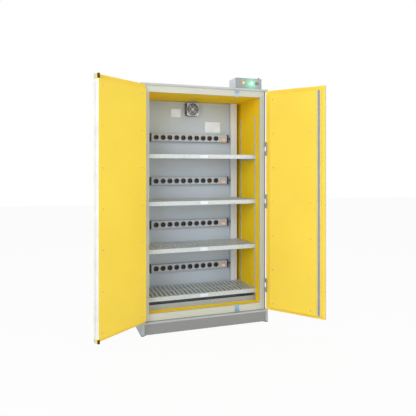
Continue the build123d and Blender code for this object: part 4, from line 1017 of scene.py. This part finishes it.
@dataclass
class Door(Assembly):
    """One door: leaf, inner sheet, screws and fittings."""

    place: DoorPlace = field(default_factory=lambda: DoorPlace(1, Vector((0.543, -0.041, 0.0)), 126.1))
    columns: tuple[float, float] = (0.086, 0.438)
    rows: int = 7
    row_pitch: float = 0.2963
    first_row: float = 0.190
    head_depth: float = -0.004 + 0.0022
    groove_insets: tuple[float, float] = (0.5015, 0.5185)
    groove_floor: float = -0.003
    groove_skin: float = 0.0004
    groove_end: float = 0.001

    def finishes(self) -> dict[str, Finish]:
        """Finish of each node."""
        if self.place.side > 0:
            return {
                "right_leaf": LIGHT_GREY, "right_core": FIRE_BOARD, "right_inner_sheet": YELLOW,
                "right_screws": DOOR_SCREW_STEEL, "meeting_bar": BAR_GREY, "latch_upper": FITTING_ZINC,
                "latch_lower": FITTING_ZINC, "handle_base": BLACK_PLASTIC, "handle_lever": BLACK_PLASTIC,
                "right_hinge_leaves": HINGE_STEEL,
            }
        return {
            "left_leaf": LIGHT_GREY, "left_core": FIRE_BOARD, "left_inner_sheet": YELLOW,
            "left_screws": DOOR_SCREW_STEEL, "left_edge_seals": EDGE_WHITE, "left_bolt_blocks": BLACK_PLASTIC,
            "left_bolt_upper": FITTING_ZINC, "left_bolt_lower": FITTING_ZINC,
            "left_hinge_leaves": HINGE_STEEL,
        }

    def details(self) -> None:
        """Dark hexagon discs on the inner sheet's screws: painted shade in their sockets."""
        points = [self.place.at(inset, self.head_depth, self.first_row + row * self.row_pitch)
                  for inset in self.columns for row in range(self.rows)]
        body = Body.RIGHT_DOOR if self.place.side > 0 else Body.LEFT_DOOR
        label = "right" if self.place.side > 0 else "left"
        self.fasteners.fit(f"{label}_screw_drives", points, self.place.normal(), DOOR_DRIVE, body)
        if self.place.side > 0:
            self.groove()

    def groove(self) -> None:
        """Dark sheet on the floor of the groove along the meeting bar: painted shade in the groove."""
        low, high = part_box("meeting_bar")
        depths = (self.groove_floor, self.groove_floor + self.groove_skin)
        corners = [self.place.at(inset, depth, z)
                   for z in (low[2] + self.groove_end, high[2] - self.groove_end)
                   for inset in self.groove_insets for depth in depths]
        sides = [(0, 2, 3, 1), (4, 5, 7, 6), (0, 1, 5, 4), (2, 6, 7, 3), (0, 4, 6, 2), (1, 3, 7, 5)]
        mesh = bpy.data.meshes.new("bar_groove_painted_shade")
        mesh.from_pydata([tuple(corner) for corner in corners], [], sides)
        shell = bmesh.new()
        shell.from_mesh(mesh)
        bmesh.ops.recalc_face_normals(shell, faces=shell.faces)
        shell.to_mesh(mesh)
        shell.free()
        mesh_piece("bar_groove_painted_shade", mesh, Body.RIGHT_DOOR, self.shop.get(BAR_GROOVE_PAINTED_SHADE))


# ---------------------------------------------------------------------------------------------
# Studio
# ---------------------------------------------------------------------------------------------
@dataclass
class Studio:
    """Floor, lights, world and camera."""

    eye: Vector = field(default_factory=lambda: Vector((-1.2879, -3.9024, 1.38505)))
    heading: float = 0.346
    lens: float = 41.51
    shift: tuple[float, float] = (-0.0288, -0.1000)
    floor_half: float = 14.0
    floor_share: float = 0.94
    fill_level: float = 0.50
    glow_colour: Colour = (0.12, 1.0, 0.36)
    glow_watts: float = 0.14
    glow_reach: float = 0.030
    glow_radius: float = 0.008

    def floor(self) -> None:
        """A pale floor that keeps the shadow and shows white to the camera."""
        mesh = bpy.data.meshes.new("floor")
        half = self.floor_half
        corners = [(-half, -half, 0), (half, -half, 0), (half, half, 0), (-half, half, 0)]
        mesh.from_pydata(corners, [], [(0, 1, 2, 3)])
        floor = bpy.data.objects.new("floor", mesh)
        bpy.context.scene.collection.objects.link(floor)
        material = bpy.data.materials.new("studio_floor")
        nodes = NodeBuilder(material)
        nodes.shader.inputs["Base Color"].default_value = (0.86, 0.86, 0.86, 1.0)
        nodes.shader.inputs["Roughness"].default_value = 0.9
        nodes.shader.inputs["Specular IOR Level"].default_value = 0.1
        glow = nodes.add("ShaderNodeEmission")
        glow.inputs["Strength"].default_value = 1.0
        mix = nodes.add("ShaderNodeMixShader")
        nodes.link(self.seen(nodes, self.floor_share), mix.inputs[0])
        nodes.link(nodes.shader.outputs[0], mix.inputs[1])
        nodes.link(glow.outputs[0], mix.inputs[2])
        nodes.link(mix.outputs[0], nodes.output.inputs["Surface"])
        mesh.materials.append(material)

    @staticmethod
    def seen(nodes: NodeBuilder, share: float) -> bpy.types.NodeSocket:
        """Share of the ray kinds that see the background: camera, glossy and transmission.

        Args:
            nodes: a builder of the tree.
            share: value for those rays.

        Returns:
            The factor.
        """
        path = nodes.add("ShaderNodeLightPath")
        total = path.outputs["Is Camera Ray"]
        for name in ("Is Glossy Ray", "Is Transmission Ray"):
            high = nodes.add("ShaderNodeMath", operation="MAXIMUM")
            nodes.link(total, high.inputs[0])
            nodes.link(path.outputs[name], high.inputs[1])
            total = high.outputs[0]
        scaled = nodes.add("ShaderNodeMath", operation="MULTIPLY")
        nodes.link(total, scaled.inputs[0])
        scaled.inputs[1].default_value = share
        return scaled.outputs[0]

    def world(self) -> None:
        """White backdrop with a softer fill for the object."""
        world = bpy.data.worlds.new("studio")
        bpy.context.scene.world = world
        world.use_nodes = True
        tree = world.node_tree
        tree.nodes.clear()
        output = tree.nodes.new("ShaderNodeOutputWorld")
        fill = tree.nodes.new("ShaderNodeBackground")
        fill.inputs[0].default_value = (0.96, 0.98, 1.0, 1.0)
        fill.inputs[1].default_value = self.fill_level
        white = tree.nodes.new("ShaderNodeBackground")
        white.inputs[0].default_value = (1.0, 1.0, 1.0, 1.0)
        mix = tree.nodes.new("ShaderNodeMixShader")
        path = tree.nodes.new("ShaderNodeLightPath")
        top = tree.nodes.new("ShaderNodeMath")
        top.operation = "MAXIMUM"
        tree.links.new(path.outputs["Is Camera Ray"], top.inputs[0])
        tree.links.new(path.outputs["Is Glossy Ray"], top.inputs[1])
        tree.links.new(top.outputs[0], mix.inputs[0])
        tree.links.new(fill.outputs[0], mix.inputs[1])
        tree.links.new(white.outputs[0], mix.inputs[2])
        tree.links.new(mix.outputs[0], output.inputs[0])

    def lamp(self, name: str, place: Vector, aim: Vector, size: float, watts: float) -> None:
        """One soft area lamp.

        Args:
            name: lamp name.
            place: where it hangs.
            aim: what it points at.
            size: side of the square, in metres.
            watts: power.
        """
        data = bpy.data.lights.new(name, "AREA")
        data.size = size
        data.energy = watts
        lamp = bpy.data.objects.new(name, data)
        lamp.location = place
        lamp.rotation_euler = (aim - place).to_track_quat("-Z", "Y").to_euler()
        bpy.context.scene.collection.objects.link(lamp)

    def glow(self) -> None:
        """Light that the green lamp throws on its cover."""
        low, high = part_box("green_lamp")
        data = bpy.data.lights.new("green_glow", "POINT")
        data.color = self.glow_colour
        data.energy = self.glow_watts
        data.shadow_soft_size = self.glow_radius
        lamp = bpy.data.objects.new("green_glow", data)
        lamp.location = ((low[0] + high[0]) / 2, low[1] - self.glow_reach, (low[2] + high[2]) / 2)
        bpy.context.scene.collection.objects.link(lamp)

    def camera(self) -> None:
        """The camera at the reference view."""
        data = bpy.data.cameras.new("camera")
        data.sensor_width = 36.0
        data.lens = self.lens
        data.shift_x, data.shift_y = self.shift
        camera = bpy.data.objects.new("camera", data)
        camera.location = self.eye
        camera.rotation_euler = (math.pi / 2, 0.0, -self.heading)
        bpy.context.scene.collection.objects.link(camera)
        bpy.context.scene.camera = camera

    def build(self) -> None:
        """Builds the whole studio."""
        self.floor()
        self.world()
        aim = Vector((0.0, 0.1, 1.1))
        self.lamp("key", Vector((-3.2, -4.0, 2.9)), aim, 2.6, 120.0)
        self.lamp("fill", Vector((1.9, -4.6, 1.9)), aim, 3.0, 64.0)
        self.lamp("back", Vector((1.0, 3.6, 3.4)), aim, 3.0, 40.0)
        self.glow()
        self.camera()


def main() -> None:
    """Builds every sub-assembly in order."""
    logging.basicConfig(level=logging.INFO, format="%(name)s: %(message)s")
    scene = bpy.context.scene
    scene.view_settings.view_transform = "Standard"
    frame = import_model()
    nodes = frame["nodes"]
    shop = Paintshop()
    fasteners = Fasteners(shop)
    for kind in (Plinth, Casing, Interior, SocketStrips, Ventilation, ControlUnit):
        kind(shop, fasteners, nodes).build()
    Door(shop, fasteners, nodes, place=DoorPlace(-1, Vector((-0.543, -0.041, 0.0)), 141.3),
         columns=(0.082, 0.504)).build()
    Door(shop, fasteners, nodes).build()
    Studio().build()


if __name__ == "__main__":
    main()
